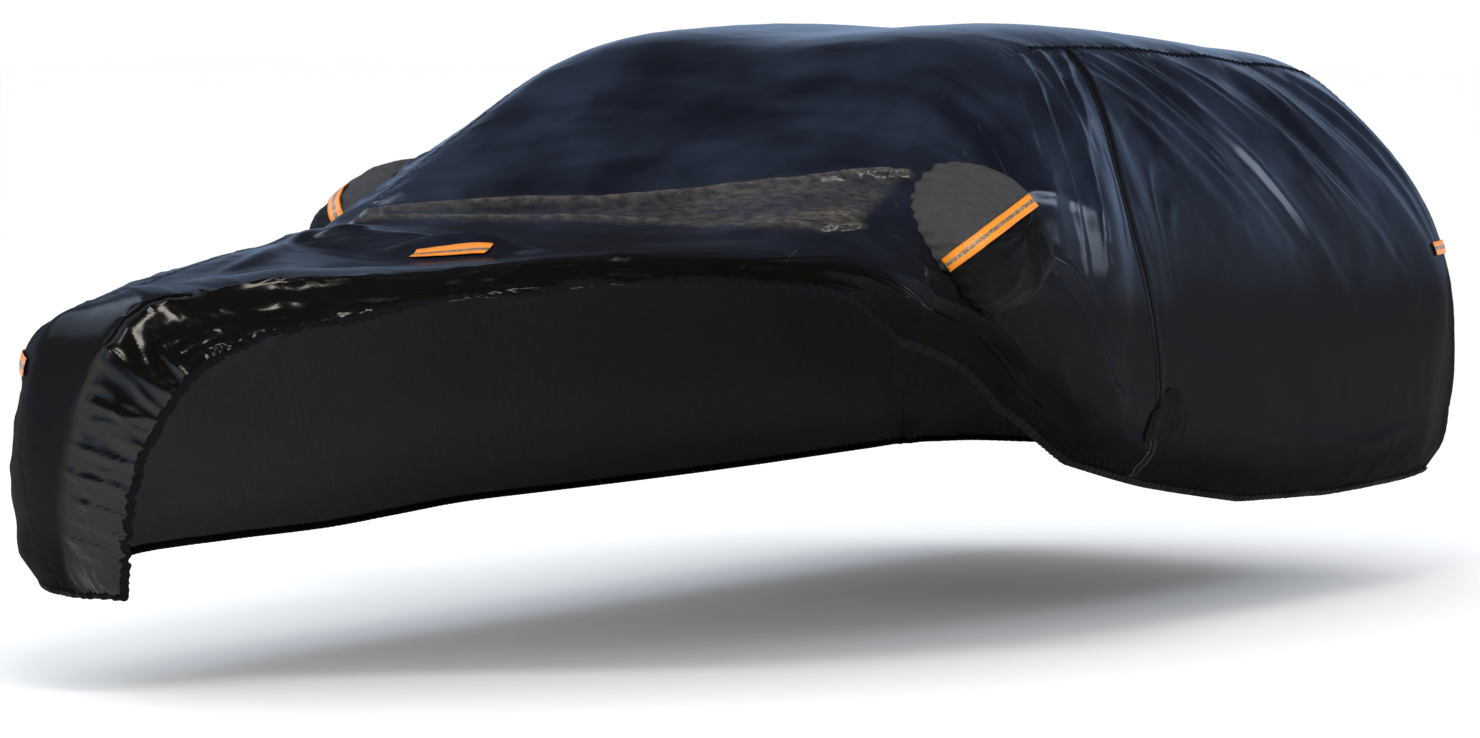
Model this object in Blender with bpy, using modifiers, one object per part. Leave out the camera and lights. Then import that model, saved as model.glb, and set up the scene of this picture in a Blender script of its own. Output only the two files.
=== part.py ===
"""Fitted car cover, lying as a hollow shell in the form it takes over a five-door hatchback.

The hem is peeled back from the front left corner, across the bonnet and down the left doors.
Sizes are in metres. Heights are above the ground and lengths run back from the front axle line;
place() then moves them to the part's own frame, whose origin is the mount under the roof cloth.
Front faces -Y, +X is the car's left side, +Z is up.
"""
import math

import bmesh
import bpy
from mathutils import Vector

# Driving dimensions
MOUNT_BACK = 1.90            # the mount under the roof: distance behind the front axle line
MOUNT_HEIGHT = 1.49          # and its height above the ground
CLOTH = 0.002                # thickness of the panels
TAPE = 0.0012                # thickness of strips, zip and patch
SEAM_GAP = 0.0022            # each panel stops this far from the middle of a seam
LAID_ON = 0.004              # how far a sewn-on piece stands off the panel under it
HEM_TUCK = 0.045             # the elastic hem turns in by this much
HEM_TUCK_WIDTH = 0.10        # over this width of cloth
LYING_TUCK = 0.20            # share of that kept where the hem lies level on the bonnet
FLAT_CORNER = 0.5            # sine of the angle under which the hem's corners count as flat
CORE_SIDE = 0.30             # the hem is drawn in towards this space inside the body
CORE_FRONT = 0.20
CORE_REAR = 2.40
STRIP_WIDTH = 0.036
STRIP_LIFT = 0.012           # the corner strips lie this far over the creased panels
ZIP_WIDTH = 0.012
FLAP_WIDTH = 0.024
ZIP_EASE = 1.3               # stations over which the rows turn from the zip's line to their own

# Stations along the car. The first six numbers are the middle line and the roof edge seam,
# the last six the belt line and the side hem. Each station is mirrored to the other side.
# name            middle y, z     edge x, y, z          belt x, y, z          hem x, y, z
STATIONS = (
    ("front hem",    -0.87, 0.22,   0.56, -0.80, 0.22,    0.78, -0.66, 0.22,    0.85, -0.46, 0.23),
    ("bumper",       -0.92, 0.50,   0.58, -0.85, 0.50,    0.80, -0.64, 0.42,    0.85, -0.36, 0.24),
    ("bonnet lip",   -0.86, 0.73,   0.58, -0.78, 0.74,    0.83, -0.54, 0.57,    0.88, -0.22, 0.25),
    ("bonnet front", -0.66, 0.83,   0.60, -0.58, 0.83,    0.88, -0.36, 0.65,    0.91, -0.04, 0.25),
    ("bonnet mid",   -0.15, 0.94,   0.66, -0.12, 0.92,    0.91,  0.02, 0.73,    0.92,  0.24, 0.25),
    ("cowl",          0.38, 1.02,   0.72,  0.42, 1.00,    0.93,  0.46, 0.81,    0.92,  0.56, 0.25),
    ("screen",        0.78, 1.26,   0.69,  0.83, 1.22,    0.95,  0.84, 0.92,    0.93,  0.86, 0.26),
    ("header",        1.16, 1.45,   0.63,  1.20, 1.41,    0.97,  1.20, 0.93,    0.94,  1.16, 0.27),
    ("roof front",    1.60, 1.50,   0.60,  1.62, 1.455,   0.97,  1.60, 0.92,    0.94,  1.56, 0.27),
    ("roof mid",      2.10, 1.50,   0.59,  2.10, 1.445,   0.98,  2.10, 0.90,    0.94,  2.06, 0.27),
    ("roof rear",     2.70, 1.445,  0.57,  2.68, 1.41,    0.98,  2.62, 0.86,    0.93,  2.56, 0.275),
    ("roof end",      3.20, 1.375,  0.56,  3.14, 1.355,   0.97,  3.04, 0.82,    0.92,  2.92, 0.28),
    ("tail upper",    3.46, 1.11,   0.66,  3.42, 1.08,    0.91,  3.22, 0.68,    0.90,  3.12, 0.285),
    ("tail mid",      3.53, 0.72,   0.65,  3.49, 0.70,    0.87,  3.30, 0.52,    0.88,  3.22, 0.29),
    ("rear hem",      3.43, 0.30,   0.60,  3.40, 0.30,    0.81,  3.31, 0.295,   0.86,  3.23, 0.29),
)
LAST = len(STATIONS) - 1

# The peeled hem, station by station: how far across it lies (0 is the middle line, 1 the roof
# edge seam, 2 the belt, 3 the side hem), how far the turned-over roll stands back from it, and
# how high the roll rises.
# name          station  across  roll back  roll height
PEEL = (
    ("front hem",     0.0,  -0.60,   0.16,      0.020),
    ("bumper",        1.0,  -0.41,   0.21,      0.048),
    ("bonnet lip",    2.0,  -0.20,   0.29,      0.098),
    ("bonnet front",  3.0,  -0.03,   0.29,      0.062),
    ("bonnet third",  3.5,   0.38,   0.25,      0.036),
    ("bonnet mid",    4.0,   0.93,   0.22,      0.030),
    ("wing",          4.5,   1.38,   0.15,      0.026),
    ("cowl",          5.0,   2.08,   0.11,      0.023),
    ("screen",        6.0,   2.51,   0.16,      0.028),
    ("header",        7.0,   2.73,   0.17,      0.020),
    ("roof front",    8.0,   2.85,   0.15,      0.012),
    ("roof mid",      9.0,   2.96,   0.12,      0.006),
    ("roof rear",    10.0,   3.00,   0.10,      0.003),
)
PEEL_END = PEEL[-1][1]

# The door zip: station at which it lies, for each distance across.
#          across  station
ZIP_LINE = ((1.0, 8.15), (1.5, 7.78), (2.0, 7.62), (2.45, 7.78), (2.85, 7.72))
ZIP_FOOT = ZIP_LINE[-1][1]

# Main folds: a soft ridge, or a trough where the height is below zero, from one place to another.
# name                     station, across    station, across   height   width
FOLDS = (
    ("right wing lift",       1.70, -1.25,      5.20, -1.20,     0.045,   0.26),
    ("cowl trough",           5.14, -1.30,      5.20,  1.00,    -0.018,   0.07),
    ("screen foot ridge",     5.36, -0.85,      5.80,  0.90,     0.016,   0.08),
    ("bonnet ridge",          4.62, -0.95,      4.38,  0.20,     0.048,   0.06),
    ("wing pinch",            5.05,  0.60,      5.40,  1.30,     0.020,   0.06),
    ("front corner crease",   2.70, -0.95,      1.20, -0.90,     0.022,   0.07),
    ("front corner fan low",  2.20, -1.00,      3.40, -2.60,     0.022,   0.09),
    ("front corner fan high", 2.90, -1.10,      4.60, -2.40,     0.020,   0.10),
    ("door fan front",        7.40,  1.05,      7.20,  2.00,     0.020,   0.07),
    ("door fan back",         7.75,  1.05,      7.10,  2.30,     0.016,   0.08),
    ("hem draw high",         5.70,  1.95,      7.40,  2.55,     0.026,   0.08),
    ("hem draw low",          5.50,  2.05,      7.00,  2.60,    -0.022,   0.07),
    ("tail fan first",        8.90,  1.05,     10.40,  2.00,     0.020,   0.09),
    ("tail fan second",       9.60,  1.05,     11.10,  2.00,     0.022,   0.09),
    ("tail fan third",       10.30,  1.05,     11.70,  1.90,     0.020,   0.09),
    ("tail corner drop",     11.60,  1.40,     13.20,  2.20,     0.022,   0.08),
    ("rear hem gather",       8.60,  2.80,     12.60,  2.80,     0.016,   0.08),
    ("right door fan",        7.60, -1.05,      7.20, -2.40,     0.020,   0.09),
    ("right tail fan low",    8.90, -1.05,     10.60, -2.20,     0.020,   0.09),
    ("right tail fan high",  10.00, -1.05,     11.60, -2.00,     0.022,   0.09),
    ("right hem gather",      4.50, -2.78,     12.00, -2.78,     0.016,   0.08),
    ("tail middle fold",     11.40, -0.40,     13.30, -0.70,     0.018,   0.09),
    ("tail left fold",       11.50,  0.50,     13.20,  0.60,     0.018,   0.09),
)

# Rows of each grid between two stations: more where its folds lie.
#             from  to    rows
TOP_ROWS =   ((0,   2,    6),
              (2,   3,    5),
              (3,   5,   14),
              (5,   9,   12),
              (9,   11,   6),
              (11,  LAST, 10))
RIGHT_ROWS = ((0,   3,    8),
              (3,   5,    8),
              (5,   9,   14),
              (9,   LAST, 20))
LEFT_ROWS =  ((4,   5,    8),
              (5,   8,   15),
              (8,   12,  24),
              (12,  LAST, 8))
TOP_COLUMNS = 14
RIGHT_COLUMNS = 10
LEFT_COLUMNS = 12

# Mirror pockets: where they are sewn on, and how they stand off the side.
# The strip across each passes this far out from and above the sewn oval's middle, is laid on the
# bag as it faces one way, and runs another way.
# name       side  station  across   out    above    strip faces            strip runs
POCKETS = (
    ("left",    1,  5.78,    1.62,   0.080, 0.012,   (0.57, -0.82, 0.06),   (0.66, 0.49, 0.60)),
    ("right",  -1,  6.02,    1.74,   0.050, 0.050,   (-0.22, -0.97, 0.06),  (-0.75, 0.17, 0.64)),
)
POCKET_LENGTH = 0.175        # half the sewn oval, along the car
POCKET_HEIGHT = 0.160        # half the sewn oval, up and down
POCKET_DEPTH = 0.168         # how far the bag stands out from the side
POCKET_RISE = 0.08           # and how much it points up
POCKET_ROUND = 18
POCKET_RINGS = 6
POCKET_SWELL = 0.62          # the bag's outline: 1 is a half ellipse, less is fuller
HOLE_SHARE = 0.86            # the hole in the panel, as a share of the sewn oval
HOLE_REACH = 0.06            # the hole's cutter runs this far to both sides of the panel

# Reflective strips at the four corners, laid level: where the middle lies, and the length.
# name                 station   across   length
STRIPS = (
    ("strip_front_left",   4.32, -0.09,   0.215),
    ("strip_front_right",  2.15, -1.40,   0.200),
    ("strip_rear_left",   11.36,  1.77,   0.200),
    ("strip_rear_right",  11.36, -1.77,   0.200),
)

# The strips across the mirror pockets
POCKET_STRIP_MARGIN = 0.012  # each end stops this far from the bag's edge
POCKET_STRIP_LIFT = 0.008    # it stands this far off the bag
POCKET_STRIP_PIECES = 12     # lengths that follow the bag
STEEPEST_LAID = 0.24         # cosine between the strip's facing and the steepest cloth under it

# The patch at the foot of the zip
PATCH_STATION = 7.95
PATCH_ACROSS = 2.575
PATCH_LENGTH = 0.20
PATCH_HEIGHT = 0.11
PATCH_TAPER = 0.50           # how much narrower it is at the top

COLOURS = {
    "cover_cloth": ((0.030, 0.036, 0.050, 1), 0.34),
    "pocket_cloth": ((0.050, 0.050, 0.053, 1), 0.62),
    "reflective_tape": ((0.90, 0.26, 0.02, 1), 0.38),
    "zip_tape": ((0.008, 0.008, 0.009, 1), 0.60),
}


def clear_scene():
    for old in list(bpy.data.objects):
        bpy.data.objects.remove(old)


def place(x, y, z):
    """A point given from the front axle line and the ground, in the part's frame."""
    return Vector((x, y - MOUNT_BACK, z - MOUNT_HEIGHT))


def spline(points, t):
    """The point at t on a smooth curve through the points, one unit apart."""
    last = len(points) - 1
    i = min(max(int(math.floor(t)), 0), last - 1)
    f = t - i
    p1, p2 = points[i], points[i + 1]
    p0 = points[i - 1] if i else p1 * 2 - p2
    p3 = points[i + 2] if i + 2 <= last else p2 * 2 - p1
    return (p1 * 2 + (p2 - p0) * f + (p0 * 2 - p1 * 5 + p2 * 4 - p3) * f * f
            + (p1 * 3 - p0 - p2 * 3 + p3) * f ** 3) * 0.5


def between(table, at, column=1):
    """Straight-line reading of a table whose rows start with the place that at is compared to."""
    for low, high in zip(table, table[1:]):
        if at <= high[0]:
            share = min(max((at - low[0]) / (high[0] - low[0]), 0), 1)
            return low[column] + (high[column] - low[column]) * share
    return table[-1][column]


def lines():
    """The seven lines that run the length of the car, from the right hem to the left one."""
    middle = [place(0, row[1], row[2]) for row in STATIONS]
    left = [[place(*row[i:i + 3]) for row in STATIONS] for i in (3, 6, 9)]
    right = [[Vector((-p.x, p.y, p.z)) for p in line] for line in reversed(left)]
    return right + [middle] + left


LINES = lines()
PEEL_ACROSS = [(row[1], row[2]) for row in PEEL]
PEEL_ROLL = [(row[1], row[3], row[4]) for row in PEEL]


def form(station, across):
    """The smooth body that the cloth follows, before its folds."""
    return spline([spline(line, station) for line in LINES], across + 3)


def away(point):
    """The level direction away from the space that the body fills."""
    inner = Vector((min(max(point.x, -CORE_SIDE), CORE_SIDE),
                    min(max(point.y, CORE_FRONT - MOUNT_BACK), CORE_REAR - MOUNT_BACK), point.z))
    return (point - inner).normalized()


def out(station, across):
    """The direction that faces out of the body."""
    step = 0.04
    along = (form(station + step, across) - form(station - step, across)).normalized()
    over = (form(station, across + step) - form(station, across - step)).normalized()
    face = over.cross(along)
    flat = max(0, FLAT_CORNER - face.length)     # the hem's corners run nearly straight
    return (face + away(form(station, across)) * flat).normalized()


def hem_across(station):
    """How far across the cloth reaches on the left."""
    return 3.0 if station >= PEEL_END else between(PEEL_ACROSS, station)


def hem_points():
    """The hem as a chain of points with the station that each is at, right round the cover."""
    chain = [(i / 4, form(i / 4, -3)) for i in range(4 * LAST, -1, -1)]
    chain += [(0, form(0, a / 8 - 3)) for a in range(1, int((3 + hem_across(0)) * 8) + 1)]
    chain += [(i / 12, form(i / 12, hem_across(i / 12))) for i in range(12 * LAST + 1)]
    chain += [(LAST, form(LAST, 3 - a / 4)) for a in range(1, 24)]
    return chain


HEM = hem_points()
PEELED = [(s, form(s, hem_across(s))) for s in (i / 12 for i in range(12 * int(PEEL_END) + 1))]


def nearest(point, chain):
    """Distance from a point to a chain of points, and the station there."""
    best = (1e9, 0)
    for (s0, a), (s1, b) in zip(chain, chain[1:]):
        ab = b - a
        share = min(max((point - a).dot(ab) / max(ab.length_squared, 1e-12), 0), 1)
        distance = (a + ab * share - point).length
        if distance < best[0]:
            best = (distance, s0 + (s1 - s0) * share)
    return best


def bell(distance, width):
    return math.exp(-(distance / width) ** 2)


def fold_height(point):
    total = 0
    for _, s0, a0, s1, a1, height, width in FOLDS:
        chain = FOLD_CHAINS[(s0, a0, s1, a1)]
        distance, share = nearest(point, chain)
        if distance < 3 * width:
            total += height * bell(distance, width) * math.sin(math.pi * min(max(share, 0.04), 0.96)) ** 0.5
    return total


def fold_chain(s0, a0, s1, a1):
    """Points of the body along a fold, each with its share of the fold's length."""
    steps = 6
    return [(i / steps, form(s0 + (s1 - s0) * i / steps, a0 + (a1 - a0) * i / steps))
            for i in range(steps + 1)]


FOLD_CHAINS = {row[1:5]: fold_chain(*row[1:5]) for row in FOLDS}


def roll_height(point):
    """The turned-over roll beside the peeled hem: steep towards the hem, easy towards the roof."""
    distance, station = nearest(point, PEELED)
    back = between(PEEL_ROLL, station)
    height = between(PEEL_ROLL, station, 2)
    beyond = distance - back
    width = 0.20 if beyond > 0 else 0.45 * back
    return height * bell(beyond, width)


def cloth(station, across):
    """A point of the draped cloth."""
    point = form(station, across)
    rise = fold_height(point) + roll_height(point)
    facing = out(station, across)
    to_hem = nearest(point, HEM)[0]
    if to_hem < HEM_TUCK_WIDTH:
        level = max(0, facing.z) ** 2
        inward = away(point) * (1 - level) + facing * level * LYING_TUCK
        tuck = HEM_TUCK * (1 - to_hem / HEM_TUCK_WIDTH) ** 2
        return point + facing * rise - inward * tuck
    return point + facing * rise


def station_steps(table):
    """The stations of a grid's rows, from front to rear."""
    steps = [float(table[0][0])]
    for start, end, rows in table:
        steps += [start + (end - start) * (i + 1) / rows for i in range(rows)]
    return steps


TOP_STEPS = station_steps(TOP_ROWS)


def seam_inset(station, across, side):
    """The distance across that lies the seam gap to one side of a seam."""
    step = 0.02
    length = (form(station, across + step) - form(station, across - step)).length / (2 * step)
    return across + side * SEAM_GAP / length


def material(slot):
    if slot in bpy.data.materials:
        return bpy.data.materials[slot]
    colour, rough = COLOURS[slot]
    made = bpy.data.materials.new(slot)
    made.use_nodes = True
    shader = made.node_tree.nodes["Principled BSDF"]
    shader.inputs["Base Color"].default_value = colour
    shader.inputs["Roughness"].default_value = rough
    shader.inputs["Metallic"].default_value = 0
    return made


def face_out(made, facing=Vector((1, 0, 0))):
    """Turns a sheet's faces to look one way, so that its thickness goes on the right side."""
    bm = bmesh.new()
    bm.from_mesh(made.data)
    bmesh.ops.recalc_face_normals(bm, faces=bm.faces)
    if sum((f.normal for f in bm.faces), Vector()).dot(facing) < 0:
        bmesh.ops.reverse_faces(bm, faces=bm.faces)
    bm.to_mesh(made.data)
    bm.free()


def collection(name):
    made = bpy.data.collections.get(name) or bpy.data.collections.new(name)
    if name not in bpy.context.scene.collection.children:
        bpy.context.scene.collection.children.link(made)
    return made


def object_from(name, bm, slot):
    mesh = bpy.data.meshes.new(name)
    bm.to_mesh(mesh)
    bm.free()
    mesh.shade_smooth()
    made = bpy.data.objects.new(name, mesh)
    own = material(slot).copy()
    own.name = f"{name}_{slot}"
    made.data.materials.append(own)
    collection("car_cover").objects.link(made)
    return made


def thicken(made, thickness, offset):
    solid = made.modifiers.new("thickness", "SOLIDIFY")
    solid.thickness = thickness
    solid.offset = offset
    return made


def sheet(name, columns, rows, point_at, slot, thickness=CLOTH, offset=-1.0):
    """A sheet of cloth: a grid whose corners are placed by point_at(share across, row number)."""
    bm = bmesh.new()
    bmesh.ops.create_grid(bm, x_segments=columns, y_segments=rows, size=0.5)
    for vertex in bm.verts:
        share = vertex.co.x + 0.5
        row = round((vertex.co.y + 0.5) * rows)
        vertex.co = point_at(share, row)
    return thicken(object_from(name, bm, slot), thickness, offset)


def on_seam(station, side):
    """A point of a side panel's top edge, which runs straight between the top panel's rows."""
    station = min(max(station, 0.0), float(LAST))
    low, high = next(pair for pair in zip(TOP_STEPS, TOP_STEPS[1:]) if station <= pair[1])
    ends = [cloth(s, seam_inset(s, float(side), side)) for s in (low, high)]
    return ends[0].lerp(ends[1], (station - low) / (high - low))


def side_panel(name, side, steps, columns, zip_in_front=False, zip_behind=False):
    """A side panel from the roof edge seam to the hem, or to the peeled hem on the left.

    zip_in_front and zip_behind say whether that end of the panel runs along the zip.
    """
    first, last = steps[0], steps[-1]

    def point_at(share, row):
        station = steps[row]
        reach = hem_across(station) if side > 0 else 3.0
        seam = seam_inset(station, float(side), side)
        along = share if side > 0 else 1 - share
        across = seam + (side * reach - seam) * along
        if zip_in_front:
            ease = max(0, 1 - (station - first) / ZIP_EASE) ** 2
            station += ease * (between(ZIP_LINE, abs(across)) - ZIP_FOOT + zip_step(station, across))
        if zip_behind:
            ease = ((station - first) / (last - first)) ** 3
            station += ease * (between(ZIP_LINE, abs(across)) - ZIP_FOOT - zip_step(station, across))
        return on_seam(station, side) if along < 1e-6 else cloth(station, across)

    return sheet(name, columns, len(steps) - 1, point_at, "cover_cloth")


def zip_step(station, across):
    """Half the zip's width and the gap beside it, in stations."""
    step = 0.02
    length = (form(station + step, across) - form(station - step, across)).length / (2 * step)
    return (ZIP_WIDTH / 2 + SEAM_GAP) / length


def top_panel():
    def point_at(share, row):
        station = TOP_STEPS[row]
        right = seam_inset(station, -1.0, 1)
        left = min(seam_inset(station, 1.0, -1), hem_across(station))
        return cloth(station, right + (left - right) * share)

    return sheet("top_panel", TOP_COLUMNS, len(TOP_STEPS) - 1, point_at, "cover_cloth")


def level_walk(station, across, distance):
    """The place reached by going level along the cloth, leftwards where the distance is above zero."""
    small = 0.01
    for _ in range(max(1, round(abs(distance) / small))):
        step = 0.02
        along = (form(station + step, across) - form(station - step, across)) / (2 * step)
        over = (form(station, across + step) - form(station, across - step)) / (2 * step)
        level = Vector((0, 0, 1)).cross(out(station, across)).normalized()
        if level.dot(over) < 0:
            level = -level
        aa, oo, ao = along.dot(along), over.dot(over), along.dot(over)
        wide = aa * oo - ao * ao
        move = math.copysign(min(small, abs(distance)), distance)
        station += move * (level.dot(along) * oo - level.dot(over) * ao) / wide
        across += move * (level.dot(over) * aa - level.dot(along) * ao) / wide
    return station, across


def ribbon(name, station, across, length, width, slot, pieces=6):
    """A tape laid level on the cloth, with its middle at the station and distance across."""
    stops = [level_walk(station, across, (i / pieces - 0.5) * length) for i in range(pieces + 1)]
    middles = [cloth(*stop) for stop in stops]

    def point_at(share, row):
        ahead = middles[min(row + 1, pieces)] - middles[max(row - 1, 0)]
        face = out(*stops[row])
        sideways = face.cross(ahead).normalized()
        return middles[row] + sideways * (0.5 - share) * width + face * STRIP_LIFT

    face_out(sheet(name, 1, pieces, point_at, slot, TAPE, 1.0), out(station, across))


def zip_across(row):
    """How far across a row of the left panels' edge along the zip is."""
    seam = seam_inset(ZIP_FOOT, 1.0, 1)
    return seam + (hem_across(ZIP_FOOT) - seam) * row / LEFT_COLUMNS


def zip_tape(name, ahead_of_line, width, slot, stand_off, rows, offset):
    """A tape along the zip line, with its rows where the panels' rows are."""
    def point_at(share, row):
        across = zip_across(row)
        station = between(ZIP_LINE, across)
        ahead = (form(station + 0.02, across) - form(station - 0.02, across)).normalized()
        middle = cloth(station, across) + out(station, across) * stand_off
        return middle + ahead * (ahead_of_line + (share - 0.5) * width)

    made = sheet(name, 1, rows, point_at, slot, TAPE, offset)
    face_out(made)
    return made


def zip_parts():
    """The closed door zip between the two left panels, and the flap sewn behind it."""
    zip_tape("door_zip", 0.0, ZIP_WIDTH, "zip_tape", 0, LEFT_COLUMNS, -1.0)
    behind = ZIP_WIDTH / 2 + 0.002 + FLAP_WIDTH / 2
    zip_tape("zip_flap", behind, FLAP_WIDTH, "cover_cloth", LAID_ON, LEFT_COLUMNS - 4, 1.0)


def zip_patch():
    """The five-sided patch at the foot of the zip."""
    station, across = PATCH_STATION, PATCH_ACROSS
    bm = bmesh.new()
    bmesh.ops.create_grid(bm, x_segments=4, y_segments=4, size=0.5)
    ahead = (form(station + 0.02, across) - form(station - 0.02, across)).normalized()
    face = out(station, across)
    upward = face.cross(ahead)
    middle = cloth(station, across) + face * (LAID_ON + 0.002)
    for vertex in bm.verts:
        x, y = vertex.co.x, vertex.co.y
        taper = 1 - PATCH_TAPER * max(0, 2 * y)
        vertex.co = middle + ahead * x * PATCH_LENGTH * taper + upward * y * PATCH_HEIGHT
    made = object_from("zip_patch", bm, "zip_tape")
    face_out(made, face)
    return thicken(made, TAPE, 1.0)


def pocket_ring(side, station, across, grow):
    """The sewn oval of a mirror pocket on its side panel, grow times its size."""
    step = 0.02
    across *= side
    per_station = (form(station + step, across) - form(station - step, across)).length / (2 * step)
    per_across = (form(station, across + step) - form(station, across - step)).length / (2 * step)
    ring = []
    for i in range(POCKET_ROUND):
        turn = 2 * math.pi * i / POCKET_ROUND
        s = station + grow * POCKET_LENGTH / per_station * math.cos(turn)
        a = across + side * grow * POCKET_HEIGHT / per_across * math.sin(turn)
        ring.append(cloth(s, a) + out(s, a) * LAID_ON)
    return ring


def pocket(name, side, station, across):
    """A mirror pocket: a bag with its mouth on the side panel."""
    axis = Vector((side, 0, POCKET_RISE)).normalized()
    rim = pocket_ring(side, station, across, 1.0)
    centre = sum(rim, Vector()) / POCKET_ROUND
    bm = bmesh.new()
    bmesh.ops.create_grid(bm, x_segments=POCKET_ROUND, y_segments=POCKET_RINGS, size=0.5)
    for vertex in bm.verts:
        turn = round((vertex.co.x + 0.5) * POCKET_ROUND) % POCKET_ROUND
        rise = (vertex.co.y + 0.5) * 0.5 * math.pi
        swell = max(math.cos(rise), 0) ** POCKET_SWELL
        vertex.co = centre + (rim[turn] - centre) * swell + axis * POCKET_DEPTH * math.sin(rise)
    bmesh.ops.remove_doubles(bm, verts=bm.verts, dist=0.0005)
    made = object_from(f"mirror_pocket_{name}", bm, "pocket_cloth")
    face_out(made, axis)
    return thicken(made, CLOTH, -1.0)


def pocket_strip(name, side, station, across, out_by, above, facing, along):
    """The reflective strip across a mirror pocket, from high at the back to low at the front."""
    bag = bpy.data.objects[f"mirror_pocket_{name}"]
    rim = pocket_ring(side, station, across, 1.0)
    middle = sum(rim, Vector()) / POCKET_ROUND + Vector((side * out_by, 0, above))
    facing, along = Vector(facing).normalized(), Vector(along)
    along = (along - facing * along.dot(facing)).normalized()
    sideways = facing.cross(along)

    def laid(travel, across_strip):
        start = middle + along * travel + sideways * across_strip * STRIP_WIDTH
        hit, where, normal, _ = bag.ray_cast(start + facing * 0.5, -facing)
        if not hit or normal.dot(facing) < STEEPEST_LAID:
            return None
        return where + (normal + facing).normalized() * POCKET_STRIP_LIFT

    def reach(direction):
        steps = (direction * i * 0.004 for i in range(90))
        missed = next(t for t in steps if not (laid(t, 0.5) and laid(t, -0.5)))
        return missed - direction * POCKET_STRIP_MARGIN

    low, high = reach(-1), reach(1)

    def point_at(share, row):
        return laid(low + (high - low) * row / POCKET_STRIP_PIECES, 0.5 - share)

    strip = sheet(f"strip_mirror_{name}", 1, POCKET_STRIP_PIECES, point_at, "reflective_tape", TAPE, 1.0)
    face_out(strip, facing)


def mirror_hole(name, side, station, across, panel):
    """Cuts the hole through which the mirror enters its pocket."""
    rim = pocket_ring(side, station, across, HOLE_SHARE)
    bm = bmesh.new()
    bmesh.ops.create_cone(bm, cap_ends=True, segments=POCKET_ROUND, radius1=1, radius2=1, depth=2)
    for vertex in bm.verts:
        turn = round(math.atan2(vertex.co.y, vertex.co.x) / (2 * math.pi) * POCKET_ROUND) % POCKET_ROUND
        vertex.co = rim[turn] + Vector((HOLE_REACH * vertex.co.z, 0, 0))
    if bm.calc_volume(signed=True) < 0:
        bmesh.ops.reverse_faces(bm, faces=bm.faces)
    mesh = bpy.data.meshes.new(f"mirror_hole_{name}")
    bm.to_mesh(mesh)
    bm.free()
    cutter = bpy.data.objects.new(f"mirror_hole_{name}", mesh)
    cutter.hide_render = True
    cutter.display_type = "WIRE"
    collection("cutters").objects.link(cutter)
    cut = panel.modifiers.new("mirror hole", "BOOLEAN")
    cut.operation = "DIFFERENCE"
    cut.object = cutter


def main():
    clear_scene()
    left_steps = station_steps(LEFT_ROWS)
    tip = next(s for s in (i / 100 for i in range(1000)) if hem_across(s) > 1.03)
    front_steps = [tip] + [s for s in left_steps if tip + 0.05 < s < ZIP_FOOT - 0.1] + [ZIP_FOOT]
    rear_steps = [ZIP_FOOT] + [s for s in left_steps if s > ZIP_FOOT + 0.1]
    top_panel()
    right = side_panel("side_panel_right", -1, station_steps(RIGHT_ROWS), RIGHT_COLUMNS)
    left = side_panel("side_panel_left_front", 1, front_steps, LEFT_COLUMNS, zip_behind=True)
    side_panel("side_panel_left_rear", 1, rear_steps, LEFT_COLUMNS, zip_in_front=True)
    zip_parts()
    zip_patch()
    bpy.context.view_layer.update()
    for name, side, station, across, out_by, above, facing, along in POCKETS:
        pocket(name, side, station, across)
        bpy.context.view_layer.update()
        pocket_strip(name, side, station, across, out_by, above, facing, along)
        mirror_hole(name, side, station, across, left if side > 0 else right)
    for name, station, across, length in STRIPS:
        ribbon(name, station, across, length, STRIP_WIDTH, "reflective_tape")


main()
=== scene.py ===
"""Fitted car cover: fine cloth, mirror pockets, zip, reflective strips, studio and camera.

Lengths are metres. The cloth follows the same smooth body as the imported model: stations count
along the car from the front hem to the rear hem, and the distance across counts from the middle
line (0) over the roof edge seam (1) and the belt (2) to the side hem (3), left side above zero.
Front faces -Y, +X is the car's left side, +Z is up, and the origin is the mount under the roof.
"""
import math

import bmesh
import bpy
import numpy as np
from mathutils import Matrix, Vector, noise
from mathutils.bvhtree import BVHTree


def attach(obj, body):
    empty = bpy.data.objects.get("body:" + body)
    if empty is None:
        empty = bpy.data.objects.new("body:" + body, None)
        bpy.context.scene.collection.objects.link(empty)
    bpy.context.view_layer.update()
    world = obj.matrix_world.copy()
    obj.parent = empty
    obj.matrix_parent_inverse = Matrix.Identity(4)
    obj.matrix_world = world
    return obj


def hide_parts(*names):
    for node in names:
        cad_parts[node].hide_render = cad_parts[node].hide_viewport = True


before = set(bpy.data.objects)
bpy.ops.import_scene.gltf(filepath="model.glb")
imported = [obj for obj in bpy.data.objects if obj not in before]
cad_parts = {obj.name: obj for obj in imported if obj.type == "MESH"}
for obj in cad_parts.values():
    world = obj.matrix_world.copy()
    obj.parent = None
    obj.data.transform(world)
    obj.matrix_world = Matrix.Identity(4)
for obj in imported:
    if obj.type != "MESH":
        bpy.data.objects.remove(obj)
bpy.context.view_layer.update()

bl_info = {
    "name": "Fitted car cover",
    "version": (1, 0, 0),
    "blender": (4, 5, 0),
    "location": "View3D > Sidebar > Car cover",
    "description": "Builds a fitted car cover with its hem peeled back from the front left corner",
    "category": "Object",
}

# ---------------------------------------------------------------- the body under the cloth
MOUNT_BACK = 1.90            # the mount under the roof: distance behind the front axle line
MOUNT_HEIGHT = 1.49          # and its height above the ground

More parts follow.
